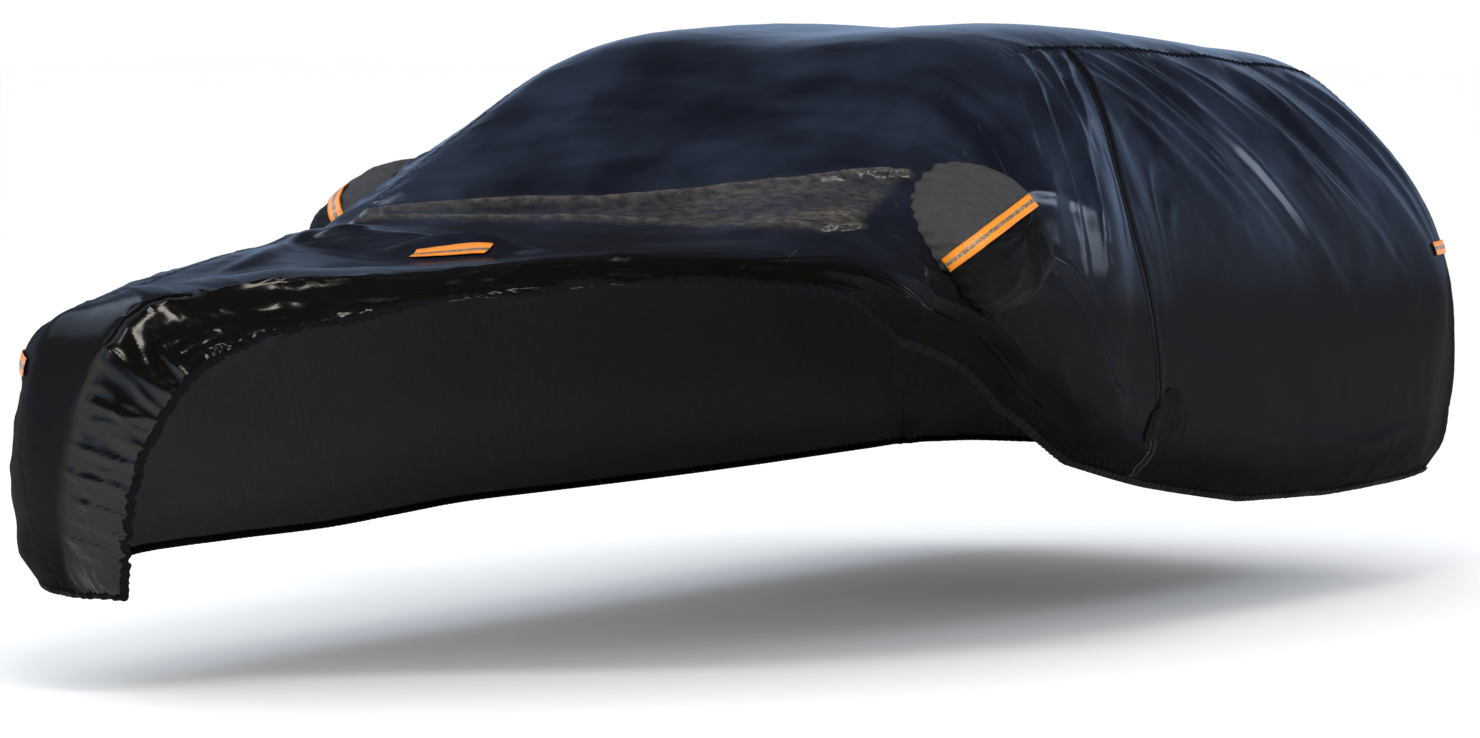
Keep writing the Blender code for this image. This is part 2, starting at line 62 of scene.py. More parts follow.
# Each station's middle line y, z; then x, y, z of the roof edge seam, the belt and the side hem,
# from the front axle line and the ground.
STATIONS = (
    (-0.87, 0.22,   0.56, -0.80, 0.22,    0.78, -0.66, 0.22,    0.85, -0.46, 0.23),
    (-0.92, 0.50,   0.58, -0.85, 0.50,    0.80, -0.64, 0.42,    0.85, -0.36, 0.24),
    (-0.86, 0.73,   0.58, -0.78, 0.74,    0.83, -0.54, 0.57,    0.88, -0.22, 0.25),
    (-0.66, 0.83,   0.60, -0.58, 0.83,    0.88, -0.36, 0.65,    0.91, -0.04, 0.25),
    (-0.15, 0.94,   0.66, -0.12, 0.92,    0.91,  0.02, 0.73,    0.92,  0.24, 0.25),
    (0.38, 1.02,    0.72,  0.42, 1.00,    0.93,  0.46, 0.81,    0.92,  0.56, 0.25),
    (0.78, 1.26,    0.69,  0.83, 1.22,    0.95,  0.84, 0.92,    0.93,  0.86, 0.26),
    (1.16, 1.45,    0.63,  1.20, 1.41,    0.97,  1.20, 0.93,    0.94,  1.16, 0.27),
    (1.60, 1.50,    0.60,  1.62, 1.455,   0.97,  1.60, 0.92,    0.94,  1.56, 0.27),
    (2.10, 1.50,    0.59,  2.10, 1.445,   0.98,  2.10, 0.90,    0.94,  2.06, 0.27),
    (2.70, 1.445,   0.57,  2.68, 1.41,    0.98,  2.62, 0.86,    0.93,  2.56, 0.275),
    (3.20, 1.375,   0.56,  3.14, 1.355,   0.97,  3.04, 0.82,    0.92,  2.92, 0.28),
    (3.46, 1.11,    0.66,  3.42, 1.08,    0.91,  3.22, 0.68,    0.90,  3.12, 0.285),
    (3.53, 0.72,    0.65,  3.49, 0.70,    0.87,  3.30, 0.52,    0.88,  3.22, 0.29),
    (3.43, 0.30,    0.60,  3.40, 0.30,    0.81,  3.31, 0.295,   0.86,  3.23, 0.29),
)
LAST = len(STATIONS) - 1

# The peeled hem: station, distance across, how far the roll stands back, how high it rises.
PEEL = np.array((
    (0.0,   -0.60,   0.16,      0.020),
    (1.0,   -0.41,   0.21,      0.048),
    (2.0,   -0.20,   0.29,      0.098),
    (3.0,   -0.03,   0.29,      0.062),
    (3.5,    0.38,   0.25,      0.036),
    (4.0,    0.93,   0.22,      0.030),
    (4.5,    1.38,   0.15,      0.026),
    (5.0,    2.08,   0.11,      0.023),
    (6.0,    2.51,   0.16,      0.028),
    (7.0,    2.73,   0.17,      0.020),
    (8.0,    2.85,   0.15,      0.012),
    (9.0,    2.96,   0.12,      0.006),
    (10.0,   3.00,   0.10,      0.003),
))
PEEL_END = PEEL[-1, 0]

# The door zip: distance across, and station there.
ZIP_LINE = np.array(((1.0, 8.15), (1.5, 7.78), (2.0, 7.62), (2.45, 7.78), (2.85, 7.72)))
ZIP_FOOT = ZIP_LINE[-1, 1]
ZIP_EASE = 1.3               # stations over which the rows turn from the zip's line to their own

HEM_TUCK = 0.045             # the elastic hem turns in by this much
HEM_TUCK_WIDTH = 0.10        # over this width of cloth
LYING_TUCK = 0.20            # share of that kept where the hem lies level on the bonnet
FLAT_CORNER = 0.5            # sine of the angle under which the hem's corners count as flat
CORE_SIDE = 0.30             # the hem is drawn in towards this space inside the body
CORE_FRONT = 0.20
CORE_REAR = 2.40

# Main folds: station and distance across of both ends, height (a trough below zero) and width.
FOLDS = (
    (1.70, -1.25,    5.20, -1.20,     0.045,   0.26),     # right wing lift
    (5.14, -1.30,    5.20,  1.00,    -0.018,   0.07),     # cowl trough
    (5.36, -0.85,    5.80,  0.90,     0.016,   0.08),     # screen foot ridge
    (4.62, -0.95,    4.38,  0.20,     0.048,   0.06),     # bonnet ridge
    (5.05,  0.60,    5.40,  1.30,     0.020,   0.06),     # wing pinch
    (2.70, -0.95,    1.20, -0.90,     0.022,   0.07),     # front corner crease
    (2.20, -1.00,    3.40, -2.60,     0.022,   0.09),     # front corner fan
    (2.90, -1.10,    4.60, -2.40,     0.020,   0.10),
    (7.40,  1.05,    7.20,  2.00,     0.020,   0.07),     # door fan
    (7.75,  1.05,    7.10,  2.30,     0.016,   0.08),
    (5.70,  1.95,    7.40,  2.55,     0.026,   0.08),     # cloth drawn towards the lifted hem
    (5.50,  2.05,    7.00,  2.60,    -0.022,   0.07),
    (8.90,  1.05,   10.40,  2.00,     0.020,   0.09),     # fans on the left of the tail
    (9.60,  1.05,   11.10,  2.00,     0.022,   0.09),
    (10.30,  1.05,  11.70,  1.90,     0.020,   0.09),
    (11.60,  1.40,  13.20,  2.20,     0.022,   0.08),
    (8.60,  2.80,   12.60,  2.80,     0.016,   0.08),     # rear hem gather
    (7.60, -1.05,    7.20, -2.40,     0.020,   0.09),     # fans on the right side
    (8.90, -1.05,   10.60, -2.20,     0.020,   0.09),
    (10.00, -1.05,  11.60, -2.00,     0.022,   0.09),
    (4.50, -2.78,   12.00, -2.78,     0.016,   0.08),     # right hem gather
    (11.40, -0.40,  13.30, -0.70,     0.018,   0.09),     # folds down the tail
    (11.50,  0.50,  13.20,  0.60,     0.018,   0.09),
)

# Sharper creases that only the fine cloth shows: the same columns as the main folds.
CREASES = (
    (4.37, -0.42,    4.42,  0.16,     0.027,   0.024),    # fold that the bonnet strip leans on
    (4.50, -0.72,    4.72, -0.34,     0.024,   0.022),    # twisted fold beside the bonnet strip
    (4.40, -0.74,    4.50, -0.36,     0.010,   0.016),
    (4.60, -0.90,    3.20, -0.60,     0.010,   0.030),    # edge of the lit right half of the bonnet
    (7.05,  0.94,    5.80,  1.06,     0.014,   0.020),    # down the screen pillar
    (6.70,  1.20,    5.90,  1.22,     0.010,   0.018),
    (5.40,  1.05,    5.75,  1.45,     0.012,   0.016),    # pinch in front of the mirror pocket
    (8.10,  1.02,    7.45,  1.55,     0.012,   0.018),    # narrow folds ahead of the zip
    (7.85,  1.02,    7.25,  1.70,     0.012,   0.016),
    (7.60,  1.02,    7.00,  1.60,     0.010,   0.015),
    (7.35,  1.02,    6.85,  1.50,     0.009,   0.015),
    (8.35,  1.03,    9.20,  1.90,     0.011,   0.022),    # fans behind the zip
    (8.60,  1.03,    9.80,  2.15,     0.010,   0.024),
    (9.10,  1.03,   10.60,  2.10,     0.009,   0.024),
    (10.10, 1.03,   11.30,  1.90,     0.010,   0.026),
    (10.80, 1.03,   12.10,  2.10,     0.010,   0.024),
    (7.90,  2.30,    9.30,  2.62,     0.007,   0.026),    # folds from the patch to the rear
    (8.10,  2.62,   10.60,  2.78,     0.006,   0.022),
    (8.40,  2.76,   11.80,  2.72,     0.006,   0.020),
    (6.20,  1.86,    7.10,  2.20,     0.014,   0.020),    # below and behind the left pocket
    (6.10,  1.98,    7.35,  2.52,     0.013,   0.020),
    (5.90,  2.10,    7.05,  2.62,     0.012,   0.018),
    (6.30,  1.60,    7.20,  1.80,     0.010,   0.020),
    (7.80, -1.03,    7.30, -1.70,     0.011,   0.018),    # the right side's fans
    (8.30, -1.03,    9.10, -1.95,     0.011,   0.022),
    (9.20, -1.03,   10.50, -2.10,     0.010,   0.024),
    (10.30, -1.03,  11.50, -1.95,     0.010,   0.026),
    (6.40, -1.70,    7.30, -2.30,     0.012,   0.022),
    (5.60, -1.80,    4.70, -2.40,     0.012,   0.022),
    (3.60, -1.10,    4.80, -2.20,     0.010,   0.024),
    (11.90, -0.85,  13.40, -0.20,     0.010,   0.024),    # tail
    (12.10,  0.80,  13.50,  0.25,     0.010,   0.024),
)

# The two long creases at the foot of the screen: distance across, stations of the upper and lower.
SCREEN_FOOT = np.array((
    (-1.00,  5.20,  5.10),
    (-0.76,  5.22,  5.14),
    (-0.38,  5.29,  5.17),
    (0.00,   5.34,  5.21),
    (0.34,   5.42,  5.18),
    (0.72,   5.56,  5.06),
    (0.94,   5.70,  5.10),
    (1.08,   5.78,  5.20),
))

# Mirror pockets: side, station and distance across of the sewn oval.
POCKETS = {"left": (1, 5.78, 1.62), "right": (-1, 6.02, 1.74)}
POCKET_LENGTH = 0.175        # half the sewn oval, along the car
POCKET_HEIGHT = 0.160        # half the sewn oval, up and down
POCKET_DEPTH = 0.168         # how far the bag stands out from the side
POCKET_RISE = 0.08           # and how much it points up
HOLE_SHARE = 0.86            # the hole in the panel, as a share of the sewn oval

# The strips across the mirror pockets: the way each faces, the way it runs, and how far out from
# and above the sewn oval's middle it passes.
POCKET_STRIPS = {"left": ((0.57, -0.82, 0.06), (0.66, 0.49, 0.60), (0.080, 0.0, 0.012)),
                 "right": ((-0.22, -0.97, 0.06), (-0.75, 0.17, 0.64), (-0.050, 0.0, 0.050))}

# The patch at the foot of the zip
PATCH_STATION = 7.95
PATCH_ACROSS = 2.575
PATCH_LENGTH = 0.20
PATCH_HEIGHT = 0.11
PATCH_TAPER = 0.50           # how much narrower it is at the top

# Corner strips: station, distance across, length.
STRIPS = {
    "strip_front_left": (4.32, -0.09, 0.215),
    "strip_front_right": (2.15, -1.40, 0.200),
    "strip_rear_left": (11.36, 1.77, 0.200),
    "strip_rear_right": (11.36, -1.77, 0.200),
}

# Rows of the fine grids: from one station to another, how many.
TOP_ROWS = ((0, 2, 84), (2, 5, 196), (5, 7, 96), (7, 11, 100), (11, LAST, 74))
RIGHT_ROWS = ((0, 3, 90), (3, 8, 190), (8, LAST, 190))
LEFT_FRONT_ROWS = ((4, 5, 80), (5, ZIP_FOOT, 190))
LEFT_REAR_ROWS = ((ZIP_FOOT, 9, 90), (9, 12, 120), (12, LAST, 64))


# ---------------------------------------------------------------- settings
def length(name, description, default, precision=4):
    return bpy.props.FloatProperty(
        name=name, description=description, default=default, min=0.0, unit="LENGTH", precision=precision)


def colour(name, description, default):
    return bpy.props.FloatVectorProperty(
        name=name, description=description, default=default, subtype="COLOR", size=3, min=0, max=1)


def share(name, description, default):
    return bpy.props.FloatProperty(
        name=name, description=description, default=default, min=0.0, max=1.0, subtype="FACTOR")


class ClothSettings(bpy.types.PropertyGroup):
    thickness: length("Cloth thickness", "Thickness of the coated cloth", 0.0012)
    lip: length("Roll overhang", "How far the turned-over roll leans towards the peeled hem", 0.038)
    lip_width: length("Roll width", "Width of cloth over which the roll leans", 0.050)
    crumple: length("Crumple height", "Height of the folds between the roll and the peeled hem", 0.016)
    bundle: length("Bundle height", "Height of the long folds drawn along the peeled hem", 0.013)
    screen_crumple: length("Screen foot crumple", "Height of the crumples at the foot of the screen", 0.011)
    drape: length("Drape height", "Height of the slanting folds on the sides", 0.008)
    crinkle: length("Crinkle height", "Height of the small crinkles all over", 0.0022)
    gather: length("Gather height", "Height of the gathers along the elastic hem", 0.0028)
    gather_pitch: length("Gather pitch", "Distance between two gathers", 0.024, 3)
    pucker: length("Pucker height", "Height of the puckers along a sewn seam", 0.0020)
    pucker_pitch: length("Pucker pitch", "Distance between two puckers", 0.030, 3)


class TrimSettings(bpy.types.PropertyGroup):
    strip_width: length("Strip width", "Width of the reflective strips", 0.036, 3)
    strip_silver: share("Silver share", "Share of a strip's width that its silver line takes", 0.26)
    tape_thickness: length("Tape thickness", "Thickness of strips, zip tape and patch", 0.0012)
    zip_width: length("Zip width", "Width of the closed zip", 0.012, 3)
    zip_pitch: length("Zip pitch", "Distance between two teeth of the zip", 0.0045)
    flap_width: length("Flap width", "Width of the flap behind the zip", 0.024, 3)
    hem_width: length("Hem casing width", "Width of the casing that holds the elastic", 0.022, 3)
    hem_depth: length("Hem casing depth", "Thickness of the casing that holds the elastic", 0.008, 3)
    seam_width: length("Seam binding width", "Width of the binding over a roof edge seam", 0.013, 3)


class ColourSettings(bpy.types.PropertyGroup):
    cloth: colour("Cloth", "Coated cloth, its darker colour", (0.0042, 0.0052, 0.0100))
    # Painted reflection: blue-grey sky sheen, laid in clouds and streaks over the cloth above the belt.
    cloth_sheen: colour("Cloth, worn", "Coated cloth where its creases are rubbed", (0.018, 0.025, 0.046))
    # Painted light: a plain grey copy of the cloth for below the belt, in place of the painted sky sheen above it.
    cloth_low: colour("Cloth, lower", "Coated cloth below the belt", (0.0088, 0.0083, 0.0094))
    # Painted shade: the turned band between the roll and the peeled hem is darkened to brown-black.
    band: colour("Turned band", "Coated cloth beside the peeled hem", (0.0036, 0.0029, 0.0022))
    # Painted highlight: brown-grey sheen on the crinkles and along the two long creases at the foot of the screen.
    crease_sheen: colour("Dusty creases", "Cloth at the foot of the screen", (0.100, 0.089, 0.076))
    lining: colour("Lining", "Inner face of the cloth", (0.050, 0.052, 0.056))
    pocket: colour("Pocket cloth", "Matt cloth of the mirror pockets", (0.040, 0.040, 0.042))
    pocket_under: colour("Pocket cloth, lower", "Lower half of the mirror pockets", (0.0022, 0.0022, 0.0024))
    orange: colour("Orange tape", "Edges of the reflective strips", (0.90, 0.27, 0.006))
    silver: colour("Silver tape", "Middle line of the reflective strips", (0.46, 0.32, 0.20))
    zip: colour("Zip", "Zip tape, teeth and patch", (0.0050, 0.0050, 0.0055))
    floor: colour("Floor", "Studio floor", (0.99, 0.99, 0.99))


class CarCoverSettings(bpy.types.PropertyGroup):
    cloth: bpy.props.PointerProperty(type=ClothSettings)
    trim: bpy.props.PointerProperty(type=TrimSettings)
    colours: bpy.props.PointerProperty(type=ColourSettings)


def settings():
    return bpy.context.scene.car_cover


# ---------------------------------------------------------------- the smooth body
def run_on(grid, axis):
    """A grid of points with one more at each end of an axis, straight on."""
    first, second = np.take(grid, [0], axis), np.take(grid, [1], axis)
    before, last = np.take(grid, [-2], axis), np.take(grid, [-1], axis)
    return np.concatenate([2 * first - second, grid, 2 * last - before], axis)


def body_grid():
    """Points of the body, station by station and from the right hem to the left one."""
    rows = np.array(STATIONS)
    middle = np.column_stack([np.zeros(len(rows)), rows[:, :2]])
    left = [rows[:, i:i + 3] for i in (2, 5, 8)]
    right = [line * (-1, 1, 1) for line in reversed(left)]
    points = np.stack(right + [middle] + left, axis=1) - (0, MOUNT_BACK, MOUNT_HEIGHT)
    return run_on(run_on(points, 0), 1)


BODY = body_grid()


def reading(t, count):
    """Which points a smooth curve of count points reads at t, and their weights."""
    start = np.clip(np.floor(t), 0, count - 2).astype(int)
    f = t - start
    weights = np.stack([-f + 2 * f**2 - f**3, 2 - 5 * f**2 + 3 * f**3,
                        f + 4 * f**2 - 3 * f**3, f**3 - f**2], -1) / 2
    return start[..., None] + np.arange(4), weights


def form(station, across):
    """The smooth body that the cloth follows, before its folds."""
    station, across = np.broadcast_arrays(np.asarray(station, float), np.asarray(across, float))
    rows, along = reading(station, LAST + 1)
    columns, over = reading(across + 3, 7)
    near = BODY[rows[..., :, None], columns[..., None, :]]
    return np.einsum("...ijk,...i,...j->...k", near, along, over)


def unit(vectors):
    return vectors / np.maximum(np.linalg.norm(vectors, axis=-1, keepdims=True), 1e-12)


def away(points):
    """The level direction away from the space that the body fills."""
    inner = points.copy()
    inner[..., 0] = np.clip(points[..., 0], -CORE_SIDE, CORE_SIDE)
    inner[..., 1] = np.clip(points[..., 1], CORE_FRONT - MOUNT_BACK, CORE_REAR - MOUNT_BACK)
    return unit(points - inner)


def out(station, across):
    """The direction that faces out of the body."""
    step = 0.04
    along = unit(form(station + step, across) - form(station - step, across))
    over = unit(form(station, across + step) - form(station, across - step))
    face = np.cross(over, along)
    flat = np.maximum(0, FLAT_CORNER - np.linalg.norm(face, axis=-1))
    return unit(face + away(form(station, across)) * flat[..., None])


def hem_across(station):
    """How far across the cloth reaches on the left."""
    return np.interp(station, PEEL[:, 0], PEEL[:, 1])


def travel(points):
    """Distance walked along a chain of points, up to each."""
    return np.concatenate([[0], np.cumsum(np.linalg.norm(np.diff(points, axis=0), axis=1))])


def hem_chain():
    """The hem as a chain of points, right round the cover."""
    right = np.arange(4 * LAST, -1, -1) / 4
    front = np.arange(1, int((3 + hem_across(0)) * 8) + 1) / 8 - 3
    left = np.arange(12 * LAST + 1) / 12
    rear = 3 - np.arange(1, 24) / 4
    return np.concatenate([form(right, -3), form(0, front), form(left, hem_across(left)), form(LAST, rear)])


HEM = hem_chain()
HEM_TRAVEL = travel(HEM)
PEELED_AT = np.arange(12 * int(PEEL_END) + 1) / 12
PEELED = form(PEELED_AT, hem_across(PEELED_AT))


def nearest(points, chain, places):
    """Each point's distance to a chain of points, its place along it, and the point there."""
    best = np.full(len(points), 1e9)
    place = np.zeros(len(points))
    foot = np.zeros_like(points)
    for a, b, start, end in zip(chain, chain[1:], places, places[1:]):
        ab = b - a
        part = np.clip((points - a) @ ab / max(ab @ ab, 1e-12), 0, 1)
        there = a + part[:, None] * ab
        distance = np.linalg.norm(points - there, axis=1)
        closer = distance < best
        best[closer] = distance[closer]
        place[closer] = start + (end - start) * part[closer]
        foot[closer] = there[closer]
    return best, place, foot


def bell(distance, width):
    return np.exp(-(distance / width) ** 2)


def ramp(value, low, high):
    """Smooth step from 0 at low to 1 at high."""
    t = np.clip((value - low) / (high - low), 0, 1)
    return t * t * (3 - 2 * t)


def window(value, low, high, soft):
    """1 between low and high, falling off smoothly over soft on both sides."""
    return ramp(value, low - soft, low) * (1 - ramp(value, high, high + soft))


# ---------------------------------------------------------------- flat places on the cloth
def measure_table():
    """Distance from the middle line, and along each line, on a fine mesh of the body."""
    stations = np.linspace(0, LAST, 4 * LAST + 1)
    across = np.linspace(-3, 3, 61)
    points = form(stations[:, None], across[None, :])
    over = np.concatenate([np.zeros((len(stations), 1)),
                           np.cumsum(np.linalg.norm(np.diff(points, axis=1), axis=2), axis=1)], axis=1)
    over -= over[:, [30]]
    seam = travel(form(stations, 1.0))
    return stations, across, over, seam


STATION_STOPS, ACROSS_STOPS, OVER_TABLE, SEAM_TRAVEL = measure_table()


def flat_place(station, across):
    """Distances in metres across from the middle line, and back along the roof edge seam."""
    row = np.clip(station * 4, 0, 4 * LAST - 1e-6)
    column = np.clip((across + 3) * 10, 0, 60 - 1e-6)
    r, c = row.astype(int), column.astype(int)
    fr, fc = row - r, column - c
    over = ((OVER_TABLE[r, c] * (1 - fc) + OVER_TABLE[r, c + 1] * fc) * (1 - fr)
            + (OVER_TABLE[r + 1, c] * (1 - fc) + OVER_TABLE[r + 1, c + 1] * fc) * fr)
    return over, np.interp(station, STATION_STOPS, SEAM_TRAVEL)


def waves(a, b, seed, c=0.0):
    """Smooth noise at places given in wavelengths, from about -0.7 to 0.7."""
    a, b, c = np.broadcast_arrays(np.asarray(a, float), b, c)
    places = np.stack([a + 17.3 * seed, b - 9.1 * seed, c + 5.7 * seed], -1).reshape(-1, 3)
    return np.array([noise.noise(place) for place in places.tolist()]).reshape(a.shape)


def ridges(a, b, seed, c=0.0):
    """Sharp ridges between rounded hollows, from 0 to 1, at places given in wavelengths."""
    return np.clip(1 - 2.4 * np.abs(waves(a, b, seed, c)), 0, 1) ** 1.6


def laid_folds(points, table):
    """The height that a table of folds gives to each point."""
    rise = np.zeros(len(points))
    steps = np.linspace(0, 1, 7)
    for s0, a0, s1, a1, height, width in table:
        chain = form(s0 + (s1 - s0) * steps, a0 + (a1 - a0) * steps)
        close = np.all((points > chain.min(axis=0) - 3 * width) & (points < chain.max(axis=0) + 3 * width), axis=1)
        distance, part, _ = nearest(points[close], chain, steps)
        ends = np.sin(np.pi * np.clip(part, 0.04, 0.96)) ** 0.5
        rise[close] += height * bell(distance, width) * ends
    return rise


class Lay:
    """Places on the draped cloth, with what its folds depend on and the points themselves."""

    def __init__(self, station, across):
        station, across = np.broadcast_arrays(np.asarray(station, float), np.asarray(across, float))
        self.shape = station.shape
        self.station, self.across = station.ravel(), across.ravel()
        self.base = form(self.station, self.across)
        self.facing = out(self.station, self.across)
        self.over, self.back = flat_place(self.station, self.across)
        self.to_hem, self.hem_at, _ = nearest(self.base, HEM, HEM_TRAVEL)
        self.to_peel, self.peel_station, foot = nearest(self.base, PEELED, PEELED_AT)
        toward = foot - self.base
        toward -= self.facing * np.sum(toward * self.facing, axis=1, keepdims=True)
        self.toward = unit(toward)
        self.roll_back = np.interp(self.peel_station, PEEL[:, 0], PEEL[:, 2])
        self.roll_height = np.interp(self.peel_station, PEEL[:, 0], PEEL[:, 3])
        seam_width = np.where(np.abs(self.across) > 1, 0.62, 0.66)
        self.to_seam = np.abs(np.abs(self.across) - 1) * seam_width
        self.band = self.band_share()
        # Mask of the painted highlight at the screen foot; screen_foot fills it in.
        self.crinkle = np.zeros(len(self.station))
        self.gloss = self.band * (1 - ramp(self.peel_station, 3.0, 4.2))
        self.points = self.drape()

    def band_share(self):
        """1 on the turned band between the roll and the peeled hem."""
        inside = ramp(self.roll_back - self.to_peel, -0.01, 0.05)
        return inside * (1 - ramp(self.peel_station, 5.6, 7.2)) * ramp(self.roll_height, 0.009, 0.02)

    def roll(self):
        beyond = self.to_peel - self.roll_back
        width = np.where(beyond > 0, 0.20, 0.45 * self.roll_back)
        return self.roll_height * bell(beyond, width)

    def creases(self):
        shift = np.stack([waves(self.over * 3, self.back * 3, seed) for seed in (1, 2, 3)], -1)
        return laid_folds(self.base + 0.035 * shift, CREASES)

    def band_folds(self, cloth):
        """Long folds along the peeled hem, finer ones across it round the front corner."""
        along = self.hem_at
        lying = ramp(self.peel_station, 1.6, 2.6)
        rough = 1 - 0.75 * ramp(self.peel_station, 3.6, 4.4)
        fan = self.to_peel + 0.10 * (along - 1.9)
        long_folds = (ridges(along / 0.75, fan / 0.070, 11) * 0.9
                      + ridges(along / 0.20, fan / 0.040, 12) * 0.6 * rough
                      + ridges(along / 0.070, self.to_peel / 0.030, 13) * 0.35 * rough - 0.45)
        short_folds = (ridges(along / 0.055, self.to_peel / 0.22, 14) * 0.7
                       + ridges(along / 0.030, self.to_peel / 0.10, 15) * 0.35 - 0.3)
        folds = long_folds * lying + short_folds * (1 - lying)
        return cloth.crumple * folds * self.band

    def bundle(self, cloth):
        """The parallel folds drawn along the peeled hem, from the bonnet to the door."""
        reach = window(self.peel_station, 3.9, 7.6, 0.7) * (1 - ramp(self.to_peel, 0.12, 0.34))
        run = self.hem_at + 0.05 * waves(self.hem_at / 0.5, self.to_peel / 0.3, 21)
        depth = self.to_peel + 0.02 * waves(self.hem_at / 0.35, self.to_peel / 0.2, 22)
        folds = ridges(run / 1.5, depth / 0.085, 23) + 0.4 * ridges(run / 0.6, depth / 0.04, 24) - 0.4
        return cloth.bundle * folds * reach

    def screen_foot(self, cloth):
        """Crumples where the cloth gathers at the foot of the screen."""
        top = np.interp(self.across, *SCREEN_FOOT[:, :2].T)
        foot = np.interp(self.across, *SCREEN_FOOT[:, ::2].T)
        reach = window(self.station, foot + 0.04, top - 0.04, 0.11) * window(self.across, -0.95, 0.98, 0.12)
        reach *= 0.40 + 0.60 * ramp(self.across, 0.10, 0.55)
        lines = bell(self.station - top, 0.024) + 0.9 * bell(self.station - foot, 0.022)
        lines *= window(self.across, -0.95, 1.05, 0.10)
        uneven = 0.55 + 0.6 * waves(self.over / 0.30, self.back / 0.07, 34)
        # Mask of the painted highlight: the crumpled reach and both creases at the screen foot.
        self.crinkle = np.clip(np.maximum(reach * uneven, lines), 0, 1)
        folds = (ridges(self.over / 0.30, self.back / 0.050, 31) * 0.5
                 + ridges(self.over / 0.050, self.back / 0.030, 32) * 0.5
                 + ridges(self.over / 0.024, self.back / 0.016, 33) * 0.22 - 0.4)
        return cloth.screen_crumple * (folds * reach + 1.3 * lines)

    def side_drape(self, cloth):
        """Slanting folds that hang from the roof edge seam."""
        side = ramp(np.abs(self.across), 1.02, 1.25) * (1 - ramp(np.abs(self.across), 2.6, 2.95))
        down = np.abs(self.over) - 0.6
        behind = ramp(self.station, 7.6, 8.3)
        run = self.back + (0.25 - 1.05 * behind) * down
        upper = 1 - 0.8 * ramp(down, 0.30, 0.80)
        broad = ridges(run / 0.24, down / 1.3, 41) - 0.3
        narrow = ridges(run / 0.085, down / 0.9, 42) * (0.75 - 0.35 * behind)
        return cloth.drape * (broad + narrow - 0.2) * side * upper * (1 - 0.8 * self.band)

    def top_drape(self, cloth):
        """Soft long waves on the roof, the screen and the bonnet."""
        top = 1 - ramp(np.abs(self.across), 0.85, 1.0)
        sweep = self.back + 0.35 * self.over
        soft = waves(self.over / 0.55, sweep / 0.22, 51) + 0.5 * ridges(self.over / 0.5, sweep / 0.14, 52)
        flat_roof = 1 - 0.75 * ramp(self.station, 6.6, 7.2)
        return 0.40 * cloth.drape * soft * top * flat_roof

    def small(self, cloth):
        """Small crinkles all over, stronger near the hem."""
        near_hem = 1 - ramp(self.to_hem, 0.03, 0.22)
        strength = 0.40 + 0.35 * near_hem
        x, y, z = self.base.T
        folds = ridges(x / 0.12, y / 0.12, 61, z / 0.12) + 0.4 * ridges(x / 0.06, y / 0.06, 62, z / 0.06) - 0.4
        return cloth.crinkle * folds * strength

    def sewn(self, cloth):
        """Puckers along the roof edge seams and gathers along the elastic hem."""
        phase = 2 * math.pi * self.back / cloth.pucker_pitch + 3 * waves(self.back / 0.12, self.across, 71)
        puckers = cloth.pucker * np.cos(phase) * bell(self.to_seam, 0.026) * ramp(self.to_seam, 0.0, 0.006)
        phase = 2 * math.pi * self.hem_at / cloth.gather_pitch + 7 * waves(self.hem_at / 0.11, 0.0, 72)
        height = cloth.gather * (0.7 + 1.1 * waves(self.hem_at / 0.14, self.to_hem / 0.1, 73))
        return puckers + height * np.cos(phase) * bell(self.to_hem, 0.034)

    def drape(self):
        cloth = settings().cloth
        rise = laid_folds(self.base, FOLDS) + self.roll() + self.creases()
        rise += self.band_folds(cloth) + self.bundle(cloth) + self.screen_foot(cloth)
        rise += self.side_drape(cloth) + self.top_drape(cloth) + self.small(cloth) + self.sewn(cloth)
        points = self.base + self.facing * rise[:, None]
        lean = cloth.lip * bell(self.to_peel - self.roll_back, cloth.lip_width) * self.roll_height / 0.045
        points += self.toward * lean[:, None]
        level = np.maximum(0, self.facing[:, 2:]) ** 2
        inward = away(self.base) * (1 - level) + self.facing * level * LYING_TUCK
        tuck = HEM_TUCK * np.clip(1 - self.to_hem / HEM_TUCK_WIDTH, 0, 1) ** 2
        return points - inward * tuck[:, None]


def per_unit(station, across):
    """Metres for each station, and for each unit across, at a place on the body."""
    step = 0.02
    along = form(station + step, across) - form(station - step, across)
    over = form(station, across + step) - form(station, across - step)
    return np.linalg.norm(along, axis=-1) / (2 * step), np.linalg.norm(over, axis=-1) / (2 * step)


def walk(station, across, level, upward, steps=24):
    """The places reached by going level along the cloth and then up it, by distances in metres."""
    level, upward = np.broadcast_arrays(np.asarray(level, float), upward)
    station = np.full(level.shape, float(station))
    across = np.full(level.shape, float(across))
    for distance, turned in ((level, False), (upward, True)):
        for _ in range(steps):
            step = 0.02
            along = (form(station + step, across) - form(station - step, across)) / (2 * step)
            over = (form(station, across + step) - form(station, across - step)) / (2 * step)
            facing = out(station, across)
            ahead = unit(np.cross(np.array((0.0, 0.0, 1.0)), facing))
            ahead = np.cross(facing, ahead) if turned else ahead * np.sign(np.sum(ahead * over, -1))[..., None]
            aa, oo, ao = (np.sum(p * q, -1) for p, q in ((along, along), (over, over), (along, over)))
            wide = aa * oo - ao * ao
            pa, po = np.sum(ahead * along, -1), np.sum(ahead * over, -1)
            station = station + distance / steps * (pa * oo - po * ao) / wide
            across = across + distance / steps * (po * aa - pa * ao) / wide
    return station, across


# ---------------------------------------------------------------- meshes
def grid_faces(rows, columns):
    """The four corners of each face of a grid of points."""
    corner = (np.arange(rows - 1)[:, None] * columns + np.arange(columns - 1)[None, :]).ravel()
    return np.stack([corner, corner + columns, corner + columns + 1, corner + 1], -1)


